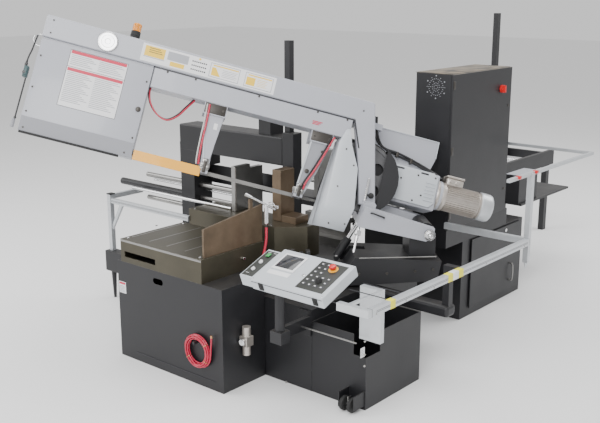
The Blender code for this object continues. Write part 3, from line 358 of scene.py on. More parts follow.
def smooth_route(points, spacing):
    """Points at about this spacing along a smooth curve through the given ones."""
    points = [Vector(point) for point in points]
    padded = [2 * points[0] - points[1]] + points + [2 * points[-1] - points[-2]]
    route = []
    for before, start, end, after in zip(padded, padded[1:], padded[2:], padded[3:]):
        steps = max(1, round((end - start).length / spacing))
        for step in range(steps):
            t = step / steps
            bend = (2 * before - 5 * start + 4 * end - after) * t * t
            bend += (3 * start - before - 3 * end + after) * t ** 3
            route.append(start + ((end - before) * t + bend) / 2)
    return route + [points[-1]]


def hose(name, points, radius, finish, body, replaces=()):
    """A round hose as a curve object along world points."""
    curve = bpy.data.curves.new(name, "CURVE")
    curve.dimensions = "3D"
    curve.bevel_depth = radius
    curve.bevel_resolution = 4
    curve.use_fill_caps = True
    spline = curve.splines.new("POLY")
    spline.points.add(len(points) - 1)
    for point, place in zip(spline.points, points):
        point.co = (*place, 1)
    spline.use_smooth = True
    curve.materials.append(MATERIALS[finish])
    piece = bpy.data.objects.new(name, curve)
    bpy.context.scene.collection.objects.link(piece)
    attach(piece, body)
    if replaces:
        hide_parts(*replaces)
    return piece


# Camera, floor and light

def build_studio():
    camera_data = bpy.data.cameras.new("camera")
    camera_data.lens = 54.49
    camera_data.sensor_width = 36
    camera = bpy.data.objects.new("camera", camera_data)
    camera.location = (4.195, -4.643, 2.65)
    camera.rotation_euler = (math.radians(76.054), 0, math.radians(40.272))
    bpy.context.scene.collection.objects.link(camera)
    bpy.context.scene.camera = camera
    mesh = bpy.data.meshes.new("studio_floor")
    low, high = -40.0, 40.0
    mesh.from_pydata([(low, low, 0), (high, low, 0), (high, high, 0), (low, high, 0)], [], [(0, 1, 2, 3)])
    material = bpy.data.materials.new("studio_floor")
    material.use_nodes = True
    shader = material.node_tree.nodes["Principled BSDF"]
    shader.inputs["Base Color"].default_value = (0.86, 0.86, 0.86, 1)
    shader.inputs["Roughness"].default_value = 0.8
    mesh.materials.append(material)
    floor = bpy.data.objects.new("studio_floor", mesh)
    bpy.context.scene.collection.objects.link(floor)
    world = bpy.data.worlds.new("studio")
    world.use_nodes = True
    world.node_tree.nodes["Background"].inputs["Color"].default_value = (1, 1, 1, 1)
    world.node_tree.nodes["Background"].inputs["Strength"].default_value = 0.85
    bpy.context.scene.world = world
    lights = (
        ("key", (3.5, -6.5, 6.0), 5.0, 620),
        ("left", (-6.0, -4.0, 5.0), 5.0, 330),
        ("back", (3.0, 7.0, 6.5), 5.0, 330),
        ("top", (-0.5, 0.5, 7.5), 5.0, 260),
    )
    for name, place, size, power in lights:
        data = bpy.data.lights.new(name, "AREA")
        data.size = size
        data.energy = power
        lamp = bpy.data.objects.new(name, data)
        lamp.location = place
        lamp.rotation_euler = (Vector((0, 0.5, 0.9)) - Vector(place)).to_track_quat("-Z", "Y").to_euler()
        bpy.context.scene.collection.objects.link(lamp)


# Hoses

COIL_CENTRE = Vector((-0.036, -0.7225, 0.258))
COIL_RADIUS = 0.100
COIL_THICK = 0.0215
AIR_HOSE_RADIUS = 0.006
TURN_GAP = 0.014
SLOT_ANGLES = (90, 150, 210, 270, 330, None, 30)
TURN_POINTS = 30
GUN_HOSE_RADIUS = 0.0095
GUN_HOSE_ROUTE = (
    (0.128, -0.200, 1.070), (0.128, -0.200, 1.020), (0.126, -0.200, 0.960), (0.118, -0.203, 0.900),
    (0.108, -0.212, 0.840), (0.102, -0.228, 0.780), (0.100, -0.245, 0.720), (0.100, -0.2535, 0.670),
    (0.100, -0.2535, 0.640),
)


def coil_offset(number):
    """Where a turn lies in the coil's section: outwards from the middle, and towards the cabinet."""
    if number >= len(SLOT_ANGLES):
        return Vector((COIL_THICK + AIR_HOSE_RADIUS + 0.0003, 0))
    angle = SLOT_ANGLES[number]
    if angle is None:
        return Vector((0, 0))
    return TURN_GAP * Vector((math.cos(math.radians(angle)), math.sin(math.radians(angle))))


def coil_points():
    """Seven turns that step one by one to the next place in the section, the last turn first."""
    points = []
    turns = len(SLOT_ANGLES)
    for turn in range(turns):
        step_start = 0.86 - 0.10 * turn
        for n in range(TURN_POINTS):
            part = n / TURN_POINTS
            moved = min(1.0, max(0.0, (part - step_start) / 0.11))
            if turn == turns - 1:
                moved = max(0.0, (part - 0.72) / 0.28)
            moved = moved * moved * (3 - 2 * moved)
            offset = coil_offset(turn).lerp(coil_offset(turn + 1), moved)
            angle = math.tau * part
            reach = COIL_RADIUS + offset.x
            points.append(COIL_CENTRE + Vector((reach * math.cos(angle), offset.y, reach * math.sin(angle))))
    return points


def build_air_hose():
    out = COIL_CENTRE.x + COIL_RADIUS + COIL_THICK + AIR_HOSE_RADIUS + 0.0003
    depth = COIL_CENTRE.y
    tail = [(out, depth, 0.258), (out + 0.003, depth, 0.285), (out + 0.010, depth - 0.004, 0.32),
            (out + 0.013, depth - 0.003, 0.36), (out + 0.012, depth, 0.402)]
    points = coil_points() + smooth_route(tail, 0.010)
    piece = hose("air_hose", points, AIR_HOSE_RADIUS, "red_hose", "machine_base",
                 replaces=("air_hose_coil", "air_hose_tail"))
    end = Vector(points[-1])
    fitting = Shape()
    fitting.turned(end - Vector((0, 0, 0.020)), (0, 0, 1), [(0, 0.0068), (0.004, 0.0078), (0.010, 0.0078),
                   (0.012, 0.0070), (0.020, 0.0070), (0.0202, 0.003)], sides=6)
    tip = fitting.make("air_hose_fitting", "brass", "machine_base", "wash_gun")
    ties = Shape()
    for angle in (35, 330, 215):
        across = Vector((math.cos(math.radians(angle)), 0, math.sin(math.radians(angle))))
        middle = COIL_CENTRE + across * COIL_RADIUS
        loop = [middle + 0.0208 * (across * math.cos(a) + Vector((0, math.sin(a), 0)))
                for a in (math.tau * n / 16 for n in range(17))]
        ties.pipe(loop, 0.0016, sides=6)
    tie_piece = ties.make("hose_ties", "brass", "machine_base", "wash_gun")


def build_wash_gun():
    lever = Shape()
    lever.pipe(smooth_route([(0.150, -0.2, 1.2195), (0.180, -0.2, 1.228), (0.205, -0.2, 1.212),
                             (0.212, -0.2, 1.190)],
                            0.006), 0.003)
    lever.make("wash_gun_hook", "chrome", "machine_base", "wash_gun")
    points = smooth_route(GUN_HOSE_ROUTE, 0.016)[::-1]
    piece = hose("coolant_hose", points, GUN_HOSE_RADIUS, "red_hose", "machine_base",
                 replaces=("wash_hose",))
    collar = Shape()
    for low, high in ((0.640, 0.665), (1.045, 1.068)):
        spot = Vector(points[0] if low < 1 else points[-1])
        collar.turned((spot.x, spot.y, low), (0, 0, 1),
                      [(0, 0.0102), (0.002, 0.0112), (high - low, 0.0104)], 20)
    collars = collar.make("hose_collars", "dark_steel", "machine_base", "wash_gun")


# Head

def on_head(u, v, w):
    return HEAD @ Vector((u, v, w))


def build_idler_door():
    """The left cover with a fold near its foot, painted shade on the fold's sloping face, a safety panel of
    plain blocks, screws and a foot strip.
    """
    body = "idler_door_leaf"
    door = Shape(HEAD)
    section = [(-0.0805, 0.612), (DOOR_V, 0.606), (DOOR_V, 0.070), (-0.086, -0.036), (-0.0805, -0.036)]
    door.prism(section, "x", -1.765, -0.998, bevel=0.003)
    door.make("idler_door_skin", "grey", body, "idler_door", replaces=("idler_door",))
    # A darker grey strip over the fold's sloping face: painted shade
    Shape(HEAD).prism([(-0.1003, 0.066), (-0.0865, -0.034), (-0.0855, -0.034), (-0.0990, 0.066)], "x",
                      -1.762, -1.002).make("door_fold_painted_shade", "painted_shade_grey", body, "idler_door")
    strip = Shape(HEAD).box((-1.758, -0.094, -0.049), (-1.082, -0.070, -0.0365), bevel=0.003)
    strip.make("door_foot_strip", "rubber", body, "idler_door")
    screws = Shape(HEAD)
    for u, w in ((-1.742, 0.49), (-1.742, 0.27), (-1.740, 0.10), (-1.020, 0.50), (-1.020, 0.10),
                 (-1.05, -0.01),
                 (-1.735, -0.01)):
        screws.screw((u, DOOR_V - 0.0002 if w > 0.07 else -0.091, w), (0, -1, 0), 0.0065)
    screws.make("door_screws", "dark_steel", body, "idler_door")
    latch = Shape(HEAD)
    latch.turned((-1.03, DOOR_V, 0.30), (0, -1, 0),
                 [(0, 0.018), (0.004, 0.018), (0.006, 0.015), (0.0061, 0.007)])
    latch.box((-1.036, -0.108, 0.284), (-1.024, -0.104, 0.316), bevel=0.001)
    latch.make("door_latch", "dark_steel", body, "idler_door")
    build_safety_panel(body)


def build_safety_panel(body):
    left, right, low, high = -1.560, -1.166, 0.192, 0.586
    face = DOOR_V - 0.0006
    panel = Shape(HEAD).box((left, face, low), (right, DOOR_V + 0.0002, high), bevel=0.0002, segments=1)
    panel.make("notice_panel", "label", body, "idler_door")
    border = Shape(HEAD)
    for a, b in (((left, low), (right, low + 0.003)), ((left, high - 0.003), (right, high)),
                 ((left, low), (left + 0.003, high)), ((right - 0.003, low), (right, high)),
                 ((left, 0.468), (right, 0.471))):
        border.box((a[0], face - 0.0003, a[1]), (b[0], face + 0.0001, b[1]), bevel=0)
    border.make("notice_border", "print_dark", body, "idler_door")
    heads = Shape(HEAD)
    for bottom in (0.560, 0.440):
        heads.box((left + 0.008, face - 0.0004, bottom), (right - 0.008, face + 0.0001, bottom + 0.022),
                  bevel=0)
    heads.make("notice_headers", "print_red", body, "idler_door")
    lines = Shape(HEAD)
    middle = (left + right) / 2
    for first, count in ((0.548, 6), (0.428, 17)):
        for n in range(count):
            w = first - 0.0125 * n
            for start, end in ((left + 0.015, middle - 0.012), (middle + 0.006, right - 0.018)):
                short = 0.018 * ((n * 7 + int(start * 100)) % 4)
                lines.box((start, face - 0.0003, w), (end - short, face + 0.0001, w + 0.0045), bevel=0)
    lines.make("notice_lines", "print_grey", body, "idler_door")


def build_idler_side():
    """The left end's wire handle, limit switch and its cable, door rod and roller knob."""
    edge = HEAD @ Matrix.Translation((-DOOR_SWING_ROOM, 0, 0))
    switch = Shape(edge)
    switch.box((-1.795, -0.098, 0.322), (-1.764, -0.050, 0.400), bevel=0.005)
    switch.box((-1.790, -0.104, 0.335), (-1.770, -0.097, 0.388), bevel=0.002)
    switch.make("limit_switch", "teal", "saw_head", "idler_housing")
    black = Shape(edge)
    black.turned((-1.786, -0.098, 0.352), (0, -1, 0),
                 [(0, 0.012), (0.004, 0.012), (0.006, 0.008), (0.008, 0.006)], 18)
    black.turned((-1.790, -0.075, 0.400), (0, 0, 1),
                 [(0, 0.011), (0.020, 0.011), (0.022, 0.008), (0.036, 0.007)], 14)
    black.pipe(smooth_route([(-1.790, -0.075, 0.43), (-1.786, -0.078, 0.47), (-1.776, -0.080, 0.52),
                             (-1.772, -0.070, 0.585), (-1.768, -0.05, 0.64)], 0.012), 0.0055)
    black.pipe([(-1.770, -0.078, 0.318), (-1.770, -0.078, 0.04)], 0.0055)
    black.turned((-1.770, -0.078, 0.034), (0, 0, 1),
                 [(0, 0.006), (0.002, 0.009), (0.012, 0.009), (0.014, 0.006)], 14)
    black.make("switch_cable", "cable", "saw_head", "idler_housing")
    # The roller knob is drawn in the darker grey copy, as painted shade
    knob = Shape(edge).turned((-1.776, -0.074, -0.026), (0, 0, 1),
                              [(0, 0.008), (0.004, 0.012), (0.054, 0.012),
                              (0.060, 0.009)], 20)
    knob.make("edge_roller", "painted_shade_grey", "saw_head", "idler_housing")
    handle = Shape(HEAD)
    handle.pipe(smooth_route([(-1.766, -0.060, 0.640), (-1.800, -0.062, 0.634), (-1.822, -0.064, 0.606),
                              (-1.806, -0.064, 0.566), (-1.766, -0.062, 0.556)], 0.008), 0.0035)
    handle.make("wire_handle", "chrome", "saw_head", "head_frame")


def build_frame_details():
    """Painted shadow strips in the cover seam, screws, painted shade strips on the cover's edges, polished
    cap, instruction panels and the beacon on the beam.
    """
    # A dark strip along the seam between the rail cover and the frame: painted shadow in the gap
    seam = Shape(HEAD)
    seam.box((-0.992, -0.0893, 0.6135), (0.452, -0.0870, 0.6240), bevel=0.0004)
    seam.prism([(0.445, 0.624), (0.456, 0.624), (0.531, 0.430), (0.519, 0.430)], "y", -0.0912, -0.0885)
    seam.make("cover_seam_painted_shadow", "print_dark", "saw_head", "rail_cover")
    screws = Shape(HEAD)
    for u in (-0.90, -0.701, -0.248, 0.181, 0.40):
        screws.screw((u, COVER_V - 0.0004, 0.6065), (0, -1, 0), 0.0072)
    for u, w in ((0.470, 0.40), (0.50, 0.70), (-1.72, 0.75), (-1.72, 0.66)):
        screws.screw((u, FRAME_V - 0.0002, w), (0, -1, 0), 0.006)
    screws.make("cover_screws", "dark_steel", "saw_head", "rail_cover")
    # Darker grey strips on the cover's end edge and along its lower part: painted shade
    edge = Shape(HEAD)
    edge.box((-0.995, -0.0895, 0.470), (-0.9925, -0.080, 0.615), bevel=0.0004)
    edge.box((-0.990, -0.0890, 0.476), (0.438, -0.0865, 0.4795), bevel=0.0008)
    edge.make("cover_edge_painted_shade", "painted_shade_grey", "saw_head", "rail_cover")
    cap = Shape(HEAD)
    cap.turned((-1.339, FRAME_V + 0.001, 0.703), (0, -1, 0), [(0, 0.066), (0.004, 0.070), (0.010, 0.070),
               (0.012, 0.067), (0.0122, 0.062), (0.0108, 0.060), (0.0108, 0.044), (0.0122, 0.042),
               (0.0122, 0.020), (0.010, 0.018), (0.010, 0.004)], 56)
    cap.make("polished_cap", "chrome", "saw_head", "pivot_shaft")
    top = Shape(HEAD)
    top.box((-1.60, -0.055, 0.7795), (-1.45, 0.055, 0.7835), bevel=0.002)
    for u in (-1.59, -1.46):
        for v in (-0.045, 0.045):
            top.screw((u, v, 0.7835), (0, 0, 1), 0.005)
    top.make("tension_hatch", "grey", "saw_head", "head_frame")
    build_instruction_strip()
    build_beacon()


def build_instruction_strip():
    """A row of plain instruction panels: white sheets with yellow and grey blocks and rows of dots."""
    face = FRAME_V - 0.0006
    white, yellow, grey, dark = (Shape(HEAD) for _ in range(4))
    white.box((-1.105, face, 0.641), (-0.155, FRAME_V + 0.0003, 0.764), bevel=0.0002, segments=1)
    yellow.box((-1.085, face - 0.0004, 0.680), (-0.945, face + 0.0001, 0.752), bevel=0.0002, segments=1)
    grey.box((-1.088, face - 0.0003, 0.672), (-0.942, face + 0.0001, 0.677), bevel=0)
    for n in range(3):
        dark.box((-1.055, face - 0.0007, 0.738 - 0.014 * n),
                 (-0.980 + 0.01 * n, face - 0.0003, 0.742 - 0.014 * n), bevel=0)
    grey.box((-0.925, face - 0.0003, 0.690), (-0.780, face + 0.0001, 0.750), bevel=0)
    yellow.box((-0.900, face - 0.0004, 0.652), (-0.800, face + 0.0001, 0.683), bevel=0.0002, segments=1)
    for row in range(3):
        for n in range(8):
            u, w = -0.750 + 0.0135 * n, 0.728 - 0.029 * row
            dark.rod((u, face + 0.0001, w), (u, face - 0.0005, w), 0.0054, sides=10)
    yellow.rod((-0.705, face + 0.0001, 0.752), (-0.705, face - 0.0005, 0.752), 0.008, sides=14)
    for start, end in ((-0.625, -0.415), (-0.375, -0.175)):
        grey.box((start, face - 0.0003, 0.652), (end, face - 0.0001, 0.7525), bevel=0)
        white.box((start + 0.004, face - 0.0006, 0.656), (end - 0.004, face - 0.0002, 0.748), bevel=0)
        yellow.box((start + 0.020, face - 0.0009, 0.733), (end - 0.010, face - 0.0005, 0.741), bevel=0)
    yellow.prism([(-0.610, 0.665), (-0.545, 0.665), (-0.585, 0.722), (-0.610, 0.722)], "y", face - 0.0009,
                 face - 0.0005)
    yellow.prism([(-0.362, 0.665), (-0.300, 0.665), (-0.300, 0.722), (-0.362, 0.722)], "y", face - 0.0009,
                 face - 0.0005)
    for n in range(5):
        w = 0.715 - 0.011 * n
        grey.box((-0.535, face - 0.0009, w), (-0.430 - 0.006 * (n % 3), face - 0.0005, w + 0.003), bevel=0)
        yellow.box((-0.285, face - 0.0009, w), (-0.215 - 0.010 * (n % 2), face - 0.0005, w + 0.0025), bevel=0)
    white.make("panel_sheets", "label", "saw_head", "head_frame")
    yellow.make("panel_yellow", "print_yellow", "saw_head", "head_frame")
    grey.make("panel_grey", "print_grey", "saw_head", "head_frame")
    dark.make("panel_dark", "print_dark", "saw_head", "head_frame")
    pink = Shape(HEAD)
    for n in range(3):
        pink.box((0.160, COVER_V - 0.0006, 0.536 - 0.010 * n),
                 (0.232 - 0.01 * n, COVER_V, 0.542 - 0.010 * n), bevel=0)
    pink.make("cover_label", "print_red", "saw_head", "rail_cover")


def build_beacon():
    base = Shape(HEAD)
    base.turned((-1.18, 0, 0.7803), (0, 0, 1), [(0, 0.034), (0.006, 0.035), (0.008, 0.033), (0.030, 0.033),
                (0.032, 0.0345), (0.038, 0.0345), (0.040, 0.033), (0.064, 0.033), (0.066, 0.030)], 36)
    base.make("beacon_socket", "rubber", "saw_head", "beacon", replaces=("beacon",))
    dome = Shape(HEAD)
    profile = [(0.064, 0.031)]
    for n in range(8):
        profile += [(0.066 + 0.006 * n, 0.0312), (0.068 + 0.006 * n, 0.0302), (0.071 + 0.006 * n, 0.0302)]
    profile += [(0.114, 0.030)]
    profile += [(0.114 + 0.012 * math.sin(a),
                 0.030 * math.cos(a)) for a in (math.radians(15 * n) for n in range(1, 6))]
    dome.turned((-1.18, 0, 0.7803), (0, 0, 1), profile, 36)
    dome.make("beacon_lens", "amber", "saw_head", "beacon")


def build_housing_back():
    """Ribs, a boss at the wheel, a plate and bolts on the far side of the idler housing and beam."""
    ribs = Shape(HEAD)
    for u in (-1.66, -1.52, -1.22, -1.08):
        ribs.box((u - 0.006, 0.0545, 0.02), (u + 0.006, 0.066, 0.60), bevel=0.002)
    ribs.turned((IDLER_U, 0.055, WHEEL_RADIUS), (0, 1, 0), [(0, 0.085), (0.012, 0.085), (0.016, 0.078),
                (0.016, 0.050), (0.030, 0.046), (0.034, 0.040)], 40)
    ribs.box((-1.60, 0.0895, 0.655), (-0.20, 0.0945, 0.750), bevel=0.003)
    ribs.make("back_ribs", "grey", "saw_head", "idler_housing")
    bolts = Shape(HEAD)
    for n in range(6):
        angle = math.tau * n / 6
        bolts.rod((IDLER_U + 0.064 * math.cos(angle), 0.069, WHEEL_RADIUS + 0.064 * math.sin(angle)),
                  (IDLER_U + 0.064 * math.cos(angle), 0.079,
                   WHEEL_RADIUS + 0.064 * math.sin(angle)), 0.008, sides=6)
    for n in range(9):
        for w in (0.668, 0.738):
            bolts.rod((-1.56 + 0.165 * n, 0.0940, w), (-1.56 + 0.165 * n, 0.0995, w), 0.007, sides=6)
    bolts.make("back_bolts", "dark_steel", "saw_head", "idler_housing")


def blade_section(along, flat_run):
    """A place on the blade's loop and the direction there, for a distance along it from the idler's top."""
    turn = math.pi * WHEEL_RADIUS
    if along < flat_run:
        return Vector((IDLER_U + along, 0, WHEEL_RADIUS * 2)), 0.0
    if along < flat_run + turn:
        angle = (along - flat_run) / WHEEL_RADIUS
        return Vector((DRIVE_U + WHEEL_RADIUS * math.sin(angle), 0,
                       WHEEL_RADIUS * (1 + math.cos(angle)))), angle
    if along < 2 * flat_run + turn:
        return Vector((DRIVE_U - (along - flat_run - turn), 0, 0)), math.pi
    angle = (along - 2 * flat_run - turn) / WHEEL_RADIUS
    place = Vector((IDLER_U - WHEEL_RADIUS * math.sin(angle), 0, WHEEL_RADIUS * (1 - math.cos(angle))))
    return place, math.pi + angle


GUIDED = (-0.50, 0.15)
TWIST_RUN = 0.36
TOOTH_PITCH = 0.0125
TOOTH_DEPTH = 0.006


def build_blade():
    """The band with its teeth along the cutting edge, twisted upright between the guides."""
    flat_run = DRIVE_U - IDLER_U
    loop = 2 * flat_run + math.tau * WHEEL_RADIUS
    teeth = round(loop / TOOTH_PITCH)
    blade = Shape(HEAD)
    sections = []
    for n in range(3 * teeth):
        place, angle = blade_section(loop * n / (3 * teeth), flat_run)
        outward = Vector((math.sin(angle), 0, math.cos(angle)))
        across = Vector((0, 1, 0))
        if place.z < 0.01:
            outside = max(GUIDED[0] - place.x, place.x - GUIDED[1], 0.0) / TWIST_RUN
            twist = (math.pi / 2 - CANT) * max(0.0, 1.0 - outside)
            if twist:
                across = Vector((0, math.cos(twist), math.sin(twist)))
                outward = Vector((0, math.sin(twist), -math.cos(twist)))
        cut_edge = -BAND_WIDTH / 2 + TOOTH_DEPTH * (0.0, 0.45, 1.0)[n % 3]
        corners = [place + across * side + outward * out
                   for side, out in ((cut_edge, 0), (BAND_WIDTH / 2, 0), (BAND_WIDTH / 2, BAND_THICK),
                                     (cut_edge, BAND_THICK))]
        sections.append([blade.mesh.verts.new(corner) for corner in corners])
    for section, following in zip(sections, sections[1:] + sections[:1]):
        for n in range(4):
            m = (n + 1) % 4
            blade.mesh.faces.new((section[n], section[m], following[m], following[n]))
    blade.make("toothed_band", "steel", "saw_head", "saw_blade", replaces=("saw_blade",))


def build_wheel_details():
    for name, u, body, front in (("idler", IDLER_U, "idler_pulley", -1),
                                 ("drive", DRIVE_U, "drive_pulley", -1)):
        centre = Vector((u, 0, WHEEL_RADIUS))
        hub = Shape(HEAD)
        hub.turned(centre + Vector((0, -0.0195, 0)), (0, front, 0),
                   [(0, 0.046), (0.003, 0.044), (0.004, 0.030),
                   (0.005, 0.028)], 32)
        for n in range(5):
            angle = math.tau * n / 5
            spot = centre + Vector((0.036 * math.cos(angle), -0.020, 0.036 * math.sin(angle)))
            hub.rod(spot, spot + Vector((0, -0.006, 0)), 0.006, sides=6)
        for n in range(60):
            angle = math.tau * n / 60
            spot = centre + Vector((math.cos(angle), 0, math.sin(angle))) * 0.238
            hub.box(spot - Vector((0.0015, 0.0168, 0.0015)), spot + Vector((0.0015, 0.0168, 0.0015)), bevel=0)
        hub.make(f"{name}_wheel_hub", "dark_steel", body, f"{name}_wheel")


def build_drive_cover():
    """The folded cover over the drive wheel: a sloping left face and a flat front face with screws, and a
    darker strip of painted shade along the fold.
    """
    rows = [(-0.175, 0.300, 0.379, 0.550), (0.0, 0.318, 0.380, 0.587), (0.285, 0.346, 0.381, 0.548),
            (0.440, 0.360, 0.383, 0.470), (0.545, 0.417, 0.420, 0.436)]
    cover = Shape(HEAD)
    grid = []
    for w, left, fold, right in rows:
        grid.append([cover.mesh.verts.new(spot) for spot in (
            (left, -0.024, w), (fold - 0.004, GUARD_V + 0.003, w), (fold + 0.004, GUARD_V, w),
            ((fold + right) / 2, GUARD_V, w), (right, GUARD_V, w), (right + 0.001, GUARD_V + 0.0045, w))])
    for lower, upper in zip(grid, grid[1:]):
        for n in range(len(lower) - 1):
            cover.mesh.faces.new((lower[n], lower[n + 1], upper[n + 1], upper[n]))
    piece = cover.make("drive_cover_skin", "pale", "drive_cover_leaf", "drive_cover",
                       replaces=("drive_cover",))
    wall = piece.modifiers.new("Wall", "SOLIDIFY")
    wall.thickness = 0.003
    wall.offset = 0.0
    screws = Shape(HEAD)
    for u, w in ((0.438, 0.401), (0.435, 0.129), (0.431, -0.140), (0.515, 0.30), (0.545, -0.12)):
        screws.screw((u, GUARD_V - 0.0015, w), (0, -1, 0), 0.0060)
    screws.make("drive_cover_screws", "dark_steel", "drive_cover_leaf", "drive_cover")
    # A darker grey strip along the fold: painted shade
    shade = Shape(HEAD).prism([(0.322, -0.170), (0.352, 0.430), (0.356, 0.430), (0.326, -0.170)], "y",
                              -0.062, -0.055)
    shade.make("cover_fold_painted_shade", "painted_shade_grey", "drive_cover_leaf", "drive_cover")


def build_guide_arms():
    for side, body, top, foot in (("left", "left_guide", -0.520, -0.500),
                                  ("right", "saw_head", 0.250, 0.181)):
        node = f"{side}_guide_arm"
        dark = Shape(HEAD)
        dark.box((top - 0.076, -0.0895, 0.402), (top + 0.076, 0.058, 0.4750), bevel=0.004)
        for du in (-0.055, 0.055):
            dark.screw((top + du, -0.0895, 0.438), (0, -1, 0), 0.008)
        dark.box((foot - 0.012, -0.078, -0.006), (foot + 0.012, -0.068, 0.090), bevel=0.002)
        dark.make(f"{side}_guide_clamp", "dark_steel", body, node)
        guide = Shape(HEAD)
        guide.box((foot - 0.032, -0.076, 0.012), (foot + 0.032, -0.044, 0.060), bevel=0.004)
        guide.box((foot - 0.022, -0.072, 0.060), (foot + 0.024, -0.046, 0.100), bevel=0.003)
        for du, w in ((-0.020, 0.036), (0.022, 0.036), (0.0, 0.080)):
            guide.turned((foot + du, -0.076, w), (0, -1, 0), [(0, 0.011), (0.006, 0.011), (0.007, 0.007),
                         (0.009, 0.006)], 16)
        for dv in (-0.014, 0.014):
            guide.turned((foot - 0.028, dv, 0.034), (0, 0, 1), [(0, 0.010), (0.002, 0.011), (0.028, 0.011),
                         (0.030, 0.008)], 18)
            guide.turned((foot + 0.028, dv, 0.034), (0, 0, 1), [(0, 0.010), (0.002, 0.011), (0.028, 0.011),
                         (0.030, 0.008)], 18)
        guide.make(f"{side}_guide_rollers", "steel", body, node)
        arm = Shape(HEAD)
        if side == "left":
            outline = [(-0.590, 0.402), (-0.446, 0.402), (-0.468, 0.200), (-0.474, 0.090), (-0.528, 0.090),
                       (-0.547, 0.200)]
            route = [(-0.566, -0.094, 0.463), (-0.560, -0.094, 0.349), (-0.557, -0.092, 0.192),
                     (-0.552, -0.088, 0.09),
                     (-0.545, -0.082, 0.040)]
        else:
            outline = [(0.180, 0.402), (0.328, 0.402), (0.270, 0.180), (0.225, 0.080), (0.152, 0.080),
                       (0.166, 0.200)]
            route = [(0.338, -0.094, 0.460), (0.300, -0.093, 0.340), (0.252, -0.092, 0.200),
                     (0.212, -0.088, 0.100),
                     (0.205, -0.080, 0.050)]
        arm.prism(outline, "y", -0.078, -0.066, bevel=0.003)
        # The right arm's face takes the darker grey copy: painted shade on that face
        arm.make(f"{side}_arm_face", "grey" if side == "left" else "painted_shade_grey", body, node)
        ridge = Shape(HEAD)
        ridge.prism([(a[0], a[1]) for a in (outline[0], (outline[0][0] + 0.012, outline[0][1]),
                    (outline[-2][0] + 0.012, outline[-2][1]), outline[-2])], "y", -0.084, -0.066, bevel=0.002)
        ridge.make(f"{side}_arm_flange", "pale", body, node)
        fluid = Shape(HEAD)
        fluid.pipe(smooth_route(route, 0.014), 0.0070, sides=12)
        fluid.make(f"{side}_coolant_line", "red_hose", body, "wash_hose")
        second = Shape(HEAD)
        second.pipe(smooth_route([(u - 0.016, v + 0.004, w) for u, v, w in route], 0.014), 0.0050, sides=10)
        second.make(f"{side}_air_line", "white_hose" if side == "left" else "cable", body, "wash_hose")
    label = Shape(HEAD)
    label.box((-0.505, -0.0790, 0.300), (-0.478, -0.0775, 0.345), bevel=0)
    label.make("left_arm_label", "label", "left_guide", "left_guide_arm")
    ring = Shape(HEAD)
    ring.turned((0.200, -0.078, 0.180), (0, -1, 0),
                [(0, 0.016), (0.005, 0.016), (0.007, 0.012), (0.0071, 0.006)], 24)
    ring.turned((0.276, -0.078, 0.340), (0, -1, 0),
                [(0, 0.010), (0.004, 0.010), (0.006, 0.007), (0.0061, 0.004)], 20)
    ring.make("right_arm_knob", "dark_steel", "saw_head", "right_guide_arm")
    build_blade_guard()


def build_blade_guard():
    guard = Shape(HEAD)
    guard.prism([(-0.0655, -0.040), (-0.0750, -0.040), (-0.0750, 0.029), (-0.0655, 0.029), (-0.0655, 0.026),
                 (-0.0720, 0.026), (-0.0720, -0.037), (-0.0655, -0.037)], "x", -0.990, -0.522, bevel=0.0008)
    guard.make("yellow_blade_guard", "yellow", "left_guide", "left_guide_arm")


def build_head_hoses():
    """The slack hose pair that feeds the moving guide, hanging between the housing and the rail cover."""
    route = [(-0.985, -0.035, 0.500), (-0.984, -0.060, 0.440), (-0.960, -0.070, 0.370),
             (-0.900, -0.072, 0.305),
             (-0.825, -0.072, 0.283), (-0.760, -0.070, 0.330), (-0.715, -0.062, 0.400), (-0.672, -0.045,
                                                                                         0.470)]
    for name, shift, finish in (("guide_feed_hose", 0.0, "red_hose"), ("guide_feed_cable", 0.013, "cable")):
        points = [on_head(u - shift * 0.6, v + shift, w + shift * 0.5) for u, v, w in route]
        points = smooth_route(points, 0.014)
        piece = hose(name, points, 0.0058, finish, "saw_head")


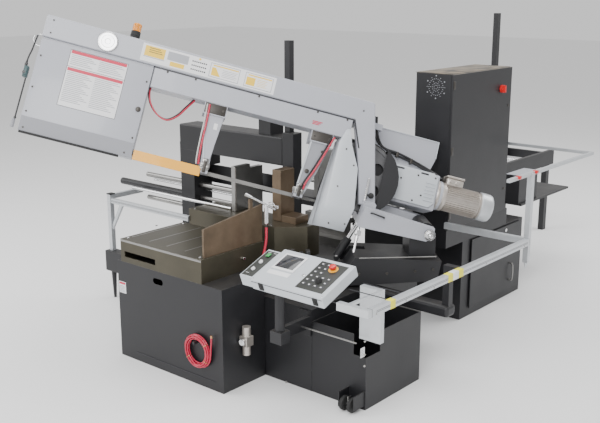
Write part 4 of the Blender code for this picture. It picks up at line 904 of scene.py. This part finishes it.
def build_drive_unit():
    axis_v, axis_w = 0.17, 0.285
    def ring(profile, shape, sides=40):
        shape.turned((0, axis_v, axis_w), (1, 0, 0), profile, sides)
    body = Shape(HEAD)
    ring([(1.2453, 0.104), (1.262, 0.108), (1.275, 0.106), (1.279, 0.090), (1.545, 0.090), (1.549, 0.100),
          (1.556, 0.100)], body)
    for n in range(36):
        angle = math.tau * n / 36
        out = Vector((0, math.cos(angle), math.sin(angle)))
        spot = Vector((1.285, axis_v, axis_w)) + out * 0.094
        body.box(spot - Vector((0, 0.0012, 0.0065)), spot + Vector((0.252, 0.0012, 0.0065)), bevel=0,
                 turn=(angle - math.pi / 2, 0, 0))
    for angle in (40, 140, 220, 320):
        spot = Vector((1.262, axis_v + 0.092 * math.cos(math.radians(angle)),
                       axis_w + 0.092 * math.sin(math.radians(angle))))
        body.rod(spot, spot + Vector((0.020, 0, 0)), 0.009, sides=6)
    body.make("motor_body", "cast", "saw_head", "motor", replaces=("motor",))
    cowl = Shape(HEAD)
    ring([(1.556, 0.103), (1.560, 0.106), (1.630, 0.105), (1.646, 0.098), (1.654, 0.086), (1.655, 0.080),
          (1.650, 0.078), (1.650, 0.060), (1.654, 0.058), (1.654, 0.040), (1.650, 0.038), (1.650, 0.020),
          (1.654, 0.018), (1.654, 0.004)], cowl, 56)
    cowl.make("motor_cowl", "rail", "saw_head", "motor")
    box = Shape(HEAD)
    box.box((1.270, 0.112, 0.372), (1.400, 0.228, 0.430), bevel=0.012, segments=3)
    box.box((1.266, 0.108, 0.430), (1.404, 0.232, 0.446), bevel=0.006, segments=3)
    box.turned((1.300, 0.112, 0.402), (0, -1, 0),
               [(0, 0.018), (0.008, 0.018), (0.010, 0.014), (0.022, 0.014)], 20)
    box.turned((1.352, 0.112, 0.402), (0, -1, 0),
               [(0, 0.018), (0.008, 0.018), (0.010, 0.014), (0.012, 0.013)], 20)
    box.make("motor_terminal_box", "cast", "saw_head", "motor")
    dark = Shape(HEAD)
    dark.turned((1.262, 0.17, 0.408), (-1, 0, 0),
                [(0, 0.026), (0.010, 0.026), (0.014, 0.020), (0.016, 0.018)], 24)
    # The dark box and ring stand where the grey gearbox's left side face lies in shade: painted shade
    dark.box((0.660, 0.068, 0.152), (0.829, 0.278, 0.372), bevel=0.012, segments=2)
    dark.turned((0.745, 0.092, 0.262), (0, -1, 0),
                [(0, 0.095), (0.022, 0.095), (0.026, 0.088), (0.026, 0.040),
                (0.036, 0.036), (0.036, 0.010)], 40)
    dark.make("output_housing_painted_shade", "dark_steel", "saw_head", "gearbox")
    build_gearbox_face()


def build_gearbox_face():
    face = Shape(HEAD)
    outline = [(0.842, 0.165), (0.845, 0.395), (0.870, 0.412), (1.150, 0.412), (1.185, 0.380), (1.185, 0.200),
               (1.150, 0.160)]
    face.prism(outline, "y", 0.046, 0.064, bevel=0.004)
    for n in range(6):
        face.box((1.098, 0.040, 0.205 + 0.026 * n), (1.172, 0.050, 0.213 + 0.026 * n), bevel=0.002)
    face.box((0.85, 0.080, 0.412), (1.16, 0.265, 0.424), bevel=0.004)
    face.make("gearbox_face", "pale", "saw_head", "gearbox")
    screws = Shape(HEAD)
    for u, w in ((0.866, 0.185), (0.866, 0.330), (0.905, 0.325), (1.028, 0.375), (1.077, 0.235),
                 (1.02, 0.185),
                 (1.160, 0.385)):
        screws.screw((u, 0.0455, w), (0, -1, 0), 0.0068)
    for n in range(4):
        screws.screw((0.875 + 0.085 * n, 0.17, 0.424), (0, 0, 1), 0.008)
    screws.make("gearbox_screws", "dark_steel", "saw_head", "gearbox")
    # Dark patches on the gearbox face where its slots are: painted shade in the openings
    slots = Shape(HEAD)
    for u in (0.858, 1.046):
        slots.box((u, 0.0445, 0.392), (u + 0.058, 0.050, 0.405), bevel=0.0015)
    slots.make("gearbox_slot_painted_shade", "print_dark", "saw_head", "gearbox")
    flange = Shape(HEAD)
    flange.turned((1.200, 0.17, 0.285), (1, 0, 0),
                  [(0, 0.113), (0.006, 0.116), (0.018, 0.116), (0.024, 0.110)], 40)
    for n in range(8):
        angle = math.tau * (n + 0.5) / 8
        spot = Vector((1.224, 0.17 + 0.103 * math.cos(angle), 0.285 + 0.103 * math.sin(angle)))
        flange.rod(spot, spot + Vector((0.008, 0, 0)), 0.007, sides=6)
    flange.make("motor_flange", "cast", "saw_head", "gearbox")
    panel = Shape(HEAD)
    panel.box((0.630, 0.2555, 0.692), (1.186, 0.262, 0.700), bevel=0.002)
    panel.box((1.182, 0.248, 0.565), (1.190, 0.262, 0.698), bevel=0.002)
    for u, w in ((0.78, 0.48), (0.98, 0.48), (0.90, 0.505)):
        panel.screw((u, 0.2618, w), (0, -1, 0), 0.007)
    panel.make("panel_flange", "pale", "saw_head", "drive_panel")
    cables = Shape(HEAD)
    for shift in (0.0, 0.016):
        cables.pipe(smooth_route([
            (0.625 + shift, 0.10, 0.730), (0.650 + shift, 0.120, 0.640), (0.700 + shift, 0.150, 0.560),
            (0.780, 0.180 + shift, 0.530), (0.880, 0.215 + shift, 0.530 - shift), (1.000, 0.235,
                                                                                   0.510 - shift),
            (1.110, 0.235, 0.480 - shift), (1.200, 0.215, 0.448 - shift / 2), (1.247, 0.175,
                                                                               0.412)], 0.02), 0.0088, 12)
    cables.make("motor_cables", "cable", "saw_head", "motor")
    clips = Shape(HEAD)
    for u, v, w in ((0.880, 0.224, 0.522), (1.000, 0.240, 0.502)):
        clips.box((u - 0.009, v - 0.020, w - 0.024), (u + 0.009, v + 0.024, w + 0.016), bevel=0.004)
    clips.make("cable_clips", "dark_steel", "saw_head", "drive_panel")


def build_head_arm_details():
    """Pull handle, pivot nuts, bolts and trims on the arm that carries the head, and the stroke rod with its
    knob.
    """
    handle = Shape(TURRET)
    handle.pipe(smooth_route([(0.680, -0.192, 1.118), (0.690, -0.214, 1.122), (0.725, -0.218, 1.108),
                              (0.765, -0.216, 1.092), (0.772, -0.194, 1.082)], 0.010), 0.006)
    handle.make("arm_handle", "cable", "saw_head", "head_frame")
    pivot = Shape(TURRET)
    pivot.rod((1.09, -0.238, 0.961), (1.09, -0.226, 0.961), 0.040, sides=36)
    pivot.rod((1.09, -0.262, 0.961), (1.09, -0.238, 0.961), 0.028, sides=6)
    pivot.turned((1.09, -0.262, 0.961), (0, -1, 0),
                 [(0, 0.016), (0.010, 0.016), (0.014, 0.011), (0.015, 0.004)], 24)
    pivot.rod((1.09, 0.226, 0.961), (1.09, 0.240, 0.961), 0.040, sides=36)
    pivot.make("pivot_nuts", "chrome", "turret", "pivot_shaft")
    rod = Shape(HEAD)
    rod.turned((0.649, -0.112, -0.303), (-0.0129, 0, 1), [(0, 0.006), (0.004, 0.0095), (0.090, 0.0095),
               (0.092, 0.0125), (0.118, 0.0125), (0.120, 0.0095), (0.535, 0.0095), (0.541, 0.006)], 20)
    rod.box((0.628, -0.128, -0.178), (0.668, -0.098, -0.142), bevel=0.004)
    rod.make("stroke_rod", "chrome", "saw_head", "lift_rod")
    knob = Shape(HEAD)
    knob.turned((0.652, -0.112, 0.119), (1, 0, 0),
                [(0, 0.007), (0.012, 0.007), (0.014, 0.014), (0.022, 0.020),
                (0.034, 0.021), (0.044, 0.016), (0.050, 0.006)], 24)
    knob.make("rod_knob", "rubber", "saw_head", "lift_rod")
    turret = Shape(TURRET)
    for s, z in ((0.60, 0.68), (0.80, 0.68), (1.00, 0.69), (1.13, 0.70)):
        turret.rod((s, -0.206, z), (s, -0.199, z), 0.010, sides=6)
        turret.rod((s, 0.199, z), (s, 0.206, z), 0.010, sides=6)
    turret.make("turret_bolts", "dark_steel", "turret", "turret_arm")
    trim = Shape(TURRET)
    trim.box((0.60, -0.2025, 0.792), (1.150, -0.1985, 0.800), bevel=0.001)
    trim.box((0.962, -0.123, 0.756), (1.168, 0.123, 0.762), bevel=0.002)
    trim.make("turret_weld_edges", "steel", "turret", "turret_arm")


def build_hydraulics():
    """Valves, fittings and a spring on the turret, kept clear of the drive cover when the head is down."""
    block = Shape(TURRET)
    block.box((0.16, -0.185, 0.690), (0.28, -0.085, 0.775), bevel=0.004)
    block.box((0.185, -0.170, 0.775), (0.215, -0.100, 0.830), bevel=0.005)
    block.box((0.230, -0.170, 0.775), (0.260, -0.100, 0.845), bevel=0.005)
    block.make("valve_block", "black", "turret", "turret_arm")
    fittings = Shape(TURRET)
    for s, z in ((0.190, 0.735), (0.245, 0.735), (0.205, 0.712), (0.255, 0.765)):
        fittings.turned((s, -0.184, z), (0, -1, 0),
                        [(0, 0.010), (0.008, 0.010), (0.009, 0.007), (0.018, 0.007),
                        (0.020, 0.0105), (0.026, 0.0105), (0.028, 0.006)], 16)
    fittings.make("valve_fittings", "chrome", "turret", "lift_rod")
    spring = Shape(TURRET)
    coil = [(0.130 + 0.022 * math.cos(a), -0.130 + 0.022 * math.sin(a), 0.765 + 0.0016 * a)
            for a in (math.tau * n / 16 for n in range(16 * 9))]
    spring.pipe(coil, 0.0035, sides=8)
    spring.make("balance_spring", "dark_steel", "turret", "turret_arm")
    lines = Shape(TURRET)
    lines.pipe(smooth_route([(0.205, -0.205, 0.735), (0.225, -0.225, 0.700), (0.28, -0.220, 0.690),
                             (0.34, -0.212, 0.690),
                             (0.42, -0.206, 0.690)], 0.02), 0.007)
    lines.make("valve_line", "cable", "turret", "turret_arm")


# Console, base and cabinet

def build_console_face():
    face = CONSOLE_FACE
    bezel = Shape(CONSOLE)
    bezel.box((0.015, -0.060, face - 0.001), (0.190, 0.100, face + 0.006), bevel=0.004, segments=3)
    bezel.box((0.018, -0.110, face - 0.001), (0.186, -0.072, face + 0.0015), bevel=0.0005)
    bezel.make("screen_bezel", "label", "console_box", "console")
    screen = Shape(CONSOLE)
    screen.box((0.030, -0.043, face + 0.004), (0.175, 0.085, face + 0.0064), bevel=0.001)
    screen.make("touch_screen", "screen", "console_box", "console")
    pad = Shape(CONSOLE)
    pad.box((0.290, -0.165, face - 0.001), (0.492, 0.108, face + 0.002), bevel=0.0008)
    pad.box((-0.135, -0.175, 0.104), (-0.045, 0.088, 0.1062), bevel=0.0008)
    pad.make("key_panel", "membrane", "console_box", "console")
    keys = Shape(CONSOLE)
    for row in range(6):
        for column in range(4):
            if row < 3 and column > 1:
                continue
            x, y = 0.306 + 0.044 * column, 0.082 - 0.040 * row
            keys.box((x, y - 0.013, face + 0.0015), (x + 0.030, y + 0.013, face + 0.0034), bevel=0.0012)
    keys.make("console_keys", "print_dark", "console_box", "console")
    dots = Shape(CONSOLE)
    for row in range(6):
        for column in range(4):
            if row < 3 and column > 1:
                continue
            x, y = 0.312 + 0.044 * column, 0.082 - 0.040 * row
            dots.box((x, y - 0.004, face + 0.0032), (x + 0.012, y + 0.004, face + 0.0037), bevel=0)
    for x, y in ((-0.120, 0.072), (-0.075, 0.072), (-0.120, -0.012), (-0.120, -0.150)):
        dots.box((x, y, 0.1060), (x + 0.026, y + 0.003, 0.1066), bevel=0)
    dots.make("key_marks", "label", "console_box", "console")
    collar = Shape(CONSOLE)
    collar.turned((0.415, 0.055, face + 0.0015), (0, 0, 1), [(0, 0.031), (0.003, 0.031), (0.0045, 0.028),
                  (0.0045, 0.016)], 40)
    collar.make("stop_collar", "yellow", "console_box", "console")
    knob = Shape(CONSOLE)
    knob.turned((0.403, -0.075, face + 0.002), (0, 0, 1),
                [(0, 0.020), (0.003, 0.022), (0.006, 0.020), (0.020, 0.018),
                (0.024, 0.015)], 28)
    knob.box((0.4005, -0.092, face + 0.022), (0.4055, -0.066, face + 0.029), bevel=0.0015)
    knob.make("feed_knob", "rubber", "console_box", "console")
    metal = Shape(CONSOLE)
    metal.turned((0.270, -0.055, face), (0, 0, 1),
                 [(0, 0.011), (0.003, 0.011), (0.004, 0.009), (0.0042, 0.003)], 24)
    for x in (-0.022, 0.510):
        for y in (-0.190, 0.122):
            metal.screw((x, y, face), (0, 0, 1), 0.0055)
    for y in (-0.178, 0.094):
        metal.screw((-0.090, y, 0.105), (0, 0, 1), 0.004)
    metal.make("console_screws", "chrome", "console_box", "console")
    catches = Shape(CONSOLE)
    for x in (0.047, 0.466):
        catches.box((x - 0.018, -0.2115, 0.050), (x + 0.018, -0.204, 0.100), bevel=0.003)
        catches.box((x - 0.010, -0.2165, 0.060), (x + 0.010, -0.210, 0.085), bevel=0.003)
    catches.make("console_catches", "rubber", "console_box", "console")
    lid = Shape(CONSOLE)
    # A dark strip along the lid's joint: painted shadow in the gap
    lid.box((-0.030, -0.2065, face - 0.016), (0.519, -0.2040, face - 0.012), bevel=0.0006)
    lid.make("lid_gap_painted_shadow", "print_dark", "console_box", "console")


def knob_caps():
    """Coloured caps over the buttons and the selectors."""
    cap = Shape(CONSOLE)
    cap.turned((0.415, 0.055, CONSOLE_FACE + 0.0095), (0, 0, 1), [(0, 0.013), (0.005, 0.014), (0.007, 0.021),
               (0.015, 0.0225), (0.021, 0.020), (0.024, 0.012)], 36)
    cap.make("stop_cap", "red", "stop_button", "emergency_stop", replaces=("emergency_stop",))
    start = Shape(CONSOLE)
    start.box((-0.103, 0.024, 0.1097), (-0.075, 0.056, 0.1170), bevel=0.003, segments=3)
    start.make("start_cap", "green", "start_push", "start_button", replaces=("start_button",))
    for number, y in ((1, -0.035), (2, -0.110)):
        body = f"selector_knob_{number}"
        selector = Shape(CONSOLE)
        selector.turned((-0.090, y, 0.1066), (0, 0, 1),
                        [(0, 0.0125), (0.002, 0.0135), (0.008, 0.013), (0.010, 0.011)], 28)
        selector.box((-0.0935, y - 0.012, 0.112), (-0.0865, y + 0.012, 0.122), bevel=0.002, segments=2)
        selector.make(f"selector_cap_{number}", "label", body, f"selector_{number}",
                      replaces=(f"selector_{number}",))


def build_base_details():
    seams = Shape()
    seams.box((-0.700, -0.7035, 0.062), (0.100, -0.7005, 0.066), bevel=0.0005)
    seams.make("cabinet_foot_seam", "print_dark", "machine_base", "front_cabinet")
    bolts = Shape()
    for x in (-0.58, -0.22, 0.16, 0.52):
        for z in (0.10, 0.80):
            bolts.rod((x, -0.4515, z), (x, -0.444, z), 0.008, sides=6)
    for x, y in ((-0.90, -0.30), (-0.90, 0.10), (0.62, -0.05)):
        bolts.rod((x, y, 0.8985), (x, y, 0.9035), 0.009, sides=6)
    bolts.make("base_bolts", "steel", "machine_base", "main_base")
    label = Shape()
    label.box((-0.865, -0.7030, 0.490), (-0.790, -0.7005, 0.575), bevel=0.0003)
    label.make("bracket_notice", "label", "machine_base", "front_cabinet")
    heading = Shape()
    heading.box((-0.860, -0.7036, 0.556), (-0.795, -0.7028, 0.571), bevel=0)
    heading.make("bracket_notice_head", "print_red", "machine_base", "front_cabinet")
    lines = Shape()
    for n in range(5):
        lines.box((-0.858, -0.7034, 0.500 + 0.010 * n),
                  (-0.802 - 0.004 * (n % 3), -0.7028, 0.504 + 0.010 * n), bevel=0)
    lines.make("bracket_notice_lines", "print_grey", "machine_base", "front_cabinet")


def build_cabinet_details():
    grille = Shape()
    centre = Vector((0.533, 1.2655, 1.91))
    for ring in range(1, 6):
        for n in range(6 * ring):
            if n % ring and ring % 2:
                continue
            angle = math.tau * n / (6 * ring)
            spot = centre + 0.0155 * ring * Vector((math.cos(angle), 0, math.sin(angle)))
            grille.rod(spot + Vector((0, 0.0015, 0)), spot - Vector((0, 0.0012, 0)), 0.0029, sides=8)
    for angle in (30, 90, 150, 210, 270, 330):
        out = Vector((math.cos(math.radians(angle)), 0, math.sin(math.radians(angle))))
        spot = centre + 0.085 * out
        grille.rod(spot + Vector((0, 0.0015, 0)), spot - Vector((0, 0.0015, 0)), 0.005, sides=10)
    grille.make("fan_guard_marks", "print_grey", "machine_base", "electrical_cabinet")


def build_disconnect():
    face = 0.6735
    ring = Shape()
    ring.box((face - 0.001, 1.985, 1.810), (face + 0.004, 2.055, 1.880), bevel=0.002)
    ring.make("disconnect_plate", "yellow", "cabinet_door_leaf", "cabinet_door")
    label = Shape()
    label.box((face - 0.0003, 1.990, 1.760), (face + 0.001, 2.050, 1.800), bevel=0.0002)
    label.make("disconnect_notice", "label", "cabinet_door_leaf", "cabinet_door")
    red = Shape()
    red.box((face, 1.994, 1.786), (face + 0.0014, 2.046, 1.796), bevel=0)
    red.make("disconnect_notice_head", "print_red", "cabinet_door_leaf", "cabinet_door")


# Rails, tank, vise, air unit and rear

def build_rail_details():
    """Dark strips of painted shade in the grooves along the extrusions, tapes, end caps, bolts and clamps."""
    # Dark strips along the extrusions' grooves and joints: painted shade in the recesses
    grooves = Shape()
    for z in (0.856, 0.864):
        grooves.box((1.3870, -0.66, z - 0.0012), (1.3886, 1.20, z + 0.0012), bevel=0)
    for y in (-0.694, -0.45, -0.30):
        grooves.box((1.030, y, 0.858), (1.350, y + 0.001, 0.864), bevel=0)
    for z in (0.868, 0.876):
        grooves.box((-1.90, 0.0640, z - 0.001), (-0.96, 0.0660, z + 0.001), bevel=0)
    grooves.make("rail_groove_painted_shade", "print_dark", "machine_base", "barrier_side")
    tapes = Shape()
    for first in (0.115, 0.245):
        tapes.box((1.3505, first, 0.834), (1.3894, first + 0.055, 0.8854), bevel=0.0008)
    tapes.box((1.3505, -0.52, 0.834), (1.3894, -0.47, 0.8854), bevel=0.0008)
    tapes.make("rail_tapes", "tape", "machine_base", "barrier_side")
    band = Shape()
    band.box((1.3503, 0.172, 0.8338), (1.3896, 0.240, 0.8856), bevel=0.0008)
    band.make("rail_white_tape", "label", "machine_base", "barrier_side")
    caps = Shape()
    caps.box((1.3515, -0.703, 0.8355), (1.3885, -0.699, 0.8845), bevel=0.001)
    caps.box((1.3515, 1.2240, 0.8355), (1.3885, 1.2270, 0.8845), bevel=0.001)
    caps.box((-1.953, 0.055, 0.925), (-1.900, 0.110, 0.934), bevel=0.002)
    caps.make("rail_end_caps", "rubber", "machine_base", "barrier_side")
    bolts = Shape()
    for y in (-0.66, -0.36, -0.05, 0.60, 1.15):
        bolts.rod((1.3862, y, 0.847), (1.3890, y, 0.847), 0.006, sides=6)
    for z in (0.55, 0.62, 0.70):
        bolts.rod((1.370, -0.738, z), (1.370, -0.745, z), 0.006, sides=6)
    bolts.make("rail_bolts", "steel", "machine_base", "barrier_side")
    red = Shape()
    for y in (1.02, 1.28):
        red.box((1.352, y, 1.352), (1.386, y + 0.030, 1.374), bevel=0.003)
    red.make("rail_red_clamps", "red", "machine_base", "rear_guard_rail")


def build_tank_details():
    wheels = Shape()
    for x in (0.944, 1.006):
        wheels.turned((x - 0.016, -0.360, 0.052), (1, 0, 0),
                      [(0, 0.030), (0.003, 0.048), (0.026, 0.048), (0.032, 0.030)],
                      32)
        wheels.turned((x + 0.016, -0.360, 0.052), (1, 0, 0), [(0, 0.014), (0.004, 0.012), (0.005, 0.006)], 20)
    wheels.make("tank_castor_wheels", "rubber", "tank_wheel_set", "tank_wheels", replaces=("tank_wheels",))
    fork = Shape()
    fork.rod((0.930, -0.360, 0.052), (1.020, -0.360, 0.052), 0.009, sides=14)
    fork.box((0.972, -0.372, 0.045), (0.980, -0.345, 0.104), bevel=0.002)
    fork.make("castor_fork", "steel", "tank_wheel_set", "tank_wheels")
    rim = Shape()
    rim.box((0.604, -0.396, 0.492), (1.051, -0.388, 0.501), bevel=0.001)
    rim.box((0.604, 0.339, 0.492), (1.051, 0.347, 0.501), bevel=0.001)
    rim.make("tank_rim", "steel", "machine_base", "coolant_tank")
    notice = Shape().box((1.0500, -0.345, 0.380), (1.0506, -0.300, 0.445), bevel=0)
    notice.make("tank_sticker", "label", "machine_base", "coolant_tank")
    lines = Shape()
    for n in range(4):
        lines.box((1.0505, -0.341, 0.392 + 0.011 * n), (1.0509, -0.305 - 0.003 * n, 0.396 + 0.011 * n),
                  bevel=0)
    lines.make("tank_sticker_lines", "print_grey", "machine_base", "coolant_tank")


def build_table_details():
    edge = Shape()
    edge.box((-0.828, -0.7005, 0.880), (-0.002, -0.6985, 0.8955), bevel=0.0006)
    for n in range(4):
        edge.box((-0.80 + 0.185 * n, -0.62, 0.8978), (-0.79 + 0.185 * n, -0.12, 0.8986), bevel=0)
    edge.make("table_wear_lines", "steel", "machine_base", "discharge_table")
    bolts = Shape()
    for x, y in ((-0.79, -0.66), (-0.05, -0.66), (-0.79, -0.13), (-0.05, -0.13)):
        bolts.turned((x, y, 0.898), (0, 0, 1), [(0, 0.009), (0.004, 0.009), (0.006, 0.007), (0.0061, 0.004),
                     (0.003, 0.0038)], 16)
    bolts.rod((0.0, -0.30, 0.82), (0.014, -0.30, 0.82), 0.012, sides=6)
    for x in (-0.90, -0.45, -0.10):
        bolts.rod((x, 0.10, 0.955), (x, 0.10, 0.963), 0.010, sides=6)
    bolts.make("table_bolts", "chrome", "machine_base", "discharge_table")


def build_vise_details():
    rods = Shape()
    rods.rod((-1.85, 0.26, 0.965), (-0.66, 0.26, 0.965), 0.012, sides=16)
    rods.rod((-1.84, 0.50, 1.00), (-0.66, 0.50, 1.00), 0.010, sides=16)
    rods.make("vise_guide_bars", "chrome", "moving_jaw", "vise_jaw")
    strip = Shape()
    strip.box((-0.5865, 0.235, 0.960), (-0.5835, 0.240, 1.300), bevel=0.001)
    strip.make("jaw_front_strip", "cast", "moving_jaw", "vise_jaw")
    caps = Shape()
    for y, z in ((0.47, 0.938),):
        caps.turned((-2.2405, y, z), (1, 0, 0),
                    [(0, 0.020), (0.004, 0.028), (0.020, 0.028), (0.024, 0.024)], 28)
    caps.make("vise_end_cap", "steel", "machine_base", "vise_cylinder")


def build_air_details():
    unit = Shape()
    unit.turned((0.222, -0.509, 0.235), (0, 0, 1),
                [(0, 0.012), (0.004, 0.024), (0.050, 0.026), (0.064, 0.024)], 28)
    unit.make("water_bowl", "bowl", "machine_base", "air_unit")
    cap = Shape()
    cap.turned((0.222, -0.509, 0.372), (0, 0, 1),
               [(0, 0.020), (0.003, 0.022), (0.045, 0.022), (0.060, 0.016)], 28)
    cap.make("regulator_knob", "rubber", "machine_base", "air_unit")
    gauge = Shape()
    gauge.turned((0.222, -0.546, 0.335), (0, -1, 0),
                 [(0, 0.024), (0.006, 0.026), (0.014, 0.026), (0.016, 0.023)], 32)
    gauge.make("pressure_gauge", "chrome", "machine_base", "air_unit")
    dial = Shape()
    dial.turned((0.222, -0.5615, 0.335), (0, -1, 0), [(0, 0.0205), (0.0006, 0.0205)], 28)
    dial.make("gauge_dial", "label", "machine_base", "air_unit")
    needle = Shape().box((0.2212, -0.5628, 0.330), (0.2228, -0.5620, 0.351), bevel=0)
    needle.make("gauge_needle", "print_dark", "machine_base", "air_unit")


def build_rear_details():
    rim = Shape()
    rim.box((0.340, 1.275, 2.010), (0.662, 2.186, 2.0125), bevel=0.0008)
    rim.make("cabinet_top_dust", "cabinet", "machine_base", "electrical_cabinet")
    lock = Shape()
    lock.turned((0.684, 2.232, 0.62), (1, 0, 0),
                [(0, 0.016), (0.003, 0.016), (0.005, 0.012), (0.0052, 0.005)], 24)
    lock.make("lower_door_lock", "chrome", "lower_door_leaf", "lower_door")
    pull = Shape()
    pull.pipe(smooth_route([(0.682, 2.335, 0.150), (0.712, 2.335, 0.160), (0.712, 2.335, 0.290),
                            (0.682, 2.335, 0.300)],
                           0.012), 0.007)
    pull.make("lower_door_pull", "steel", "lower_door_leaf", "lower_door")
    hinges = Shape()
    for z in (0.90, 1.40, 1.90):
        hinges.box((0.683, 1.270, z), (0.688, 1.298, z + 0.060), bevel=0.001)
    hinges.make("cabinet_hinges", "dark_steel", "cabinet_door_leaf", "cabinet_door")
    catch = Shape()
    for z in (1.00, 1.70):
        catch.turned((0.682, 2.150, z), (1, 0, 0), [(0, 0.012), (0.003, 0.012), (0.004, 0.008)], 20)
    catch.make("cabinet_catches", "dark_steel", "cabinet_door_leaf", "cabinet_door")
    box = Shape()
    box.box((0.465, 2.605, 1.0205), (0.595, 2.945, 1.026), bevel=0.001)
    for y in (2.66, 2.88):
        box.screw((0.53, y, 1.026), (0, 0, 1), 0.006)
    box.make("guard_box_lid", "grey", "machine_base", "conveyor_frame")


def build_all():
    dress_nodes()
    build_air_hose()
    build_wash_gun()
    build_idler_door()
    build_idler_side()
    build_frame_details()
    build_housing_back()
    build_blade()
    build_wheel_details()
    build_drive_cover()
    build_guide_arms()
    build_head_hoses()
    build_drive_unit()
    build_head_arm_details()
    build_hydraulics()
    build_console_face()
    knob_caps()
    build_base_details()
    build_cabinet_details()
    build_disconnect()
    build_rail_details()
    build_tank_details()
    build_table_details()
    build_vise_details()
    build_air_details()
    build_rear_details()


build_studio()
build_all()
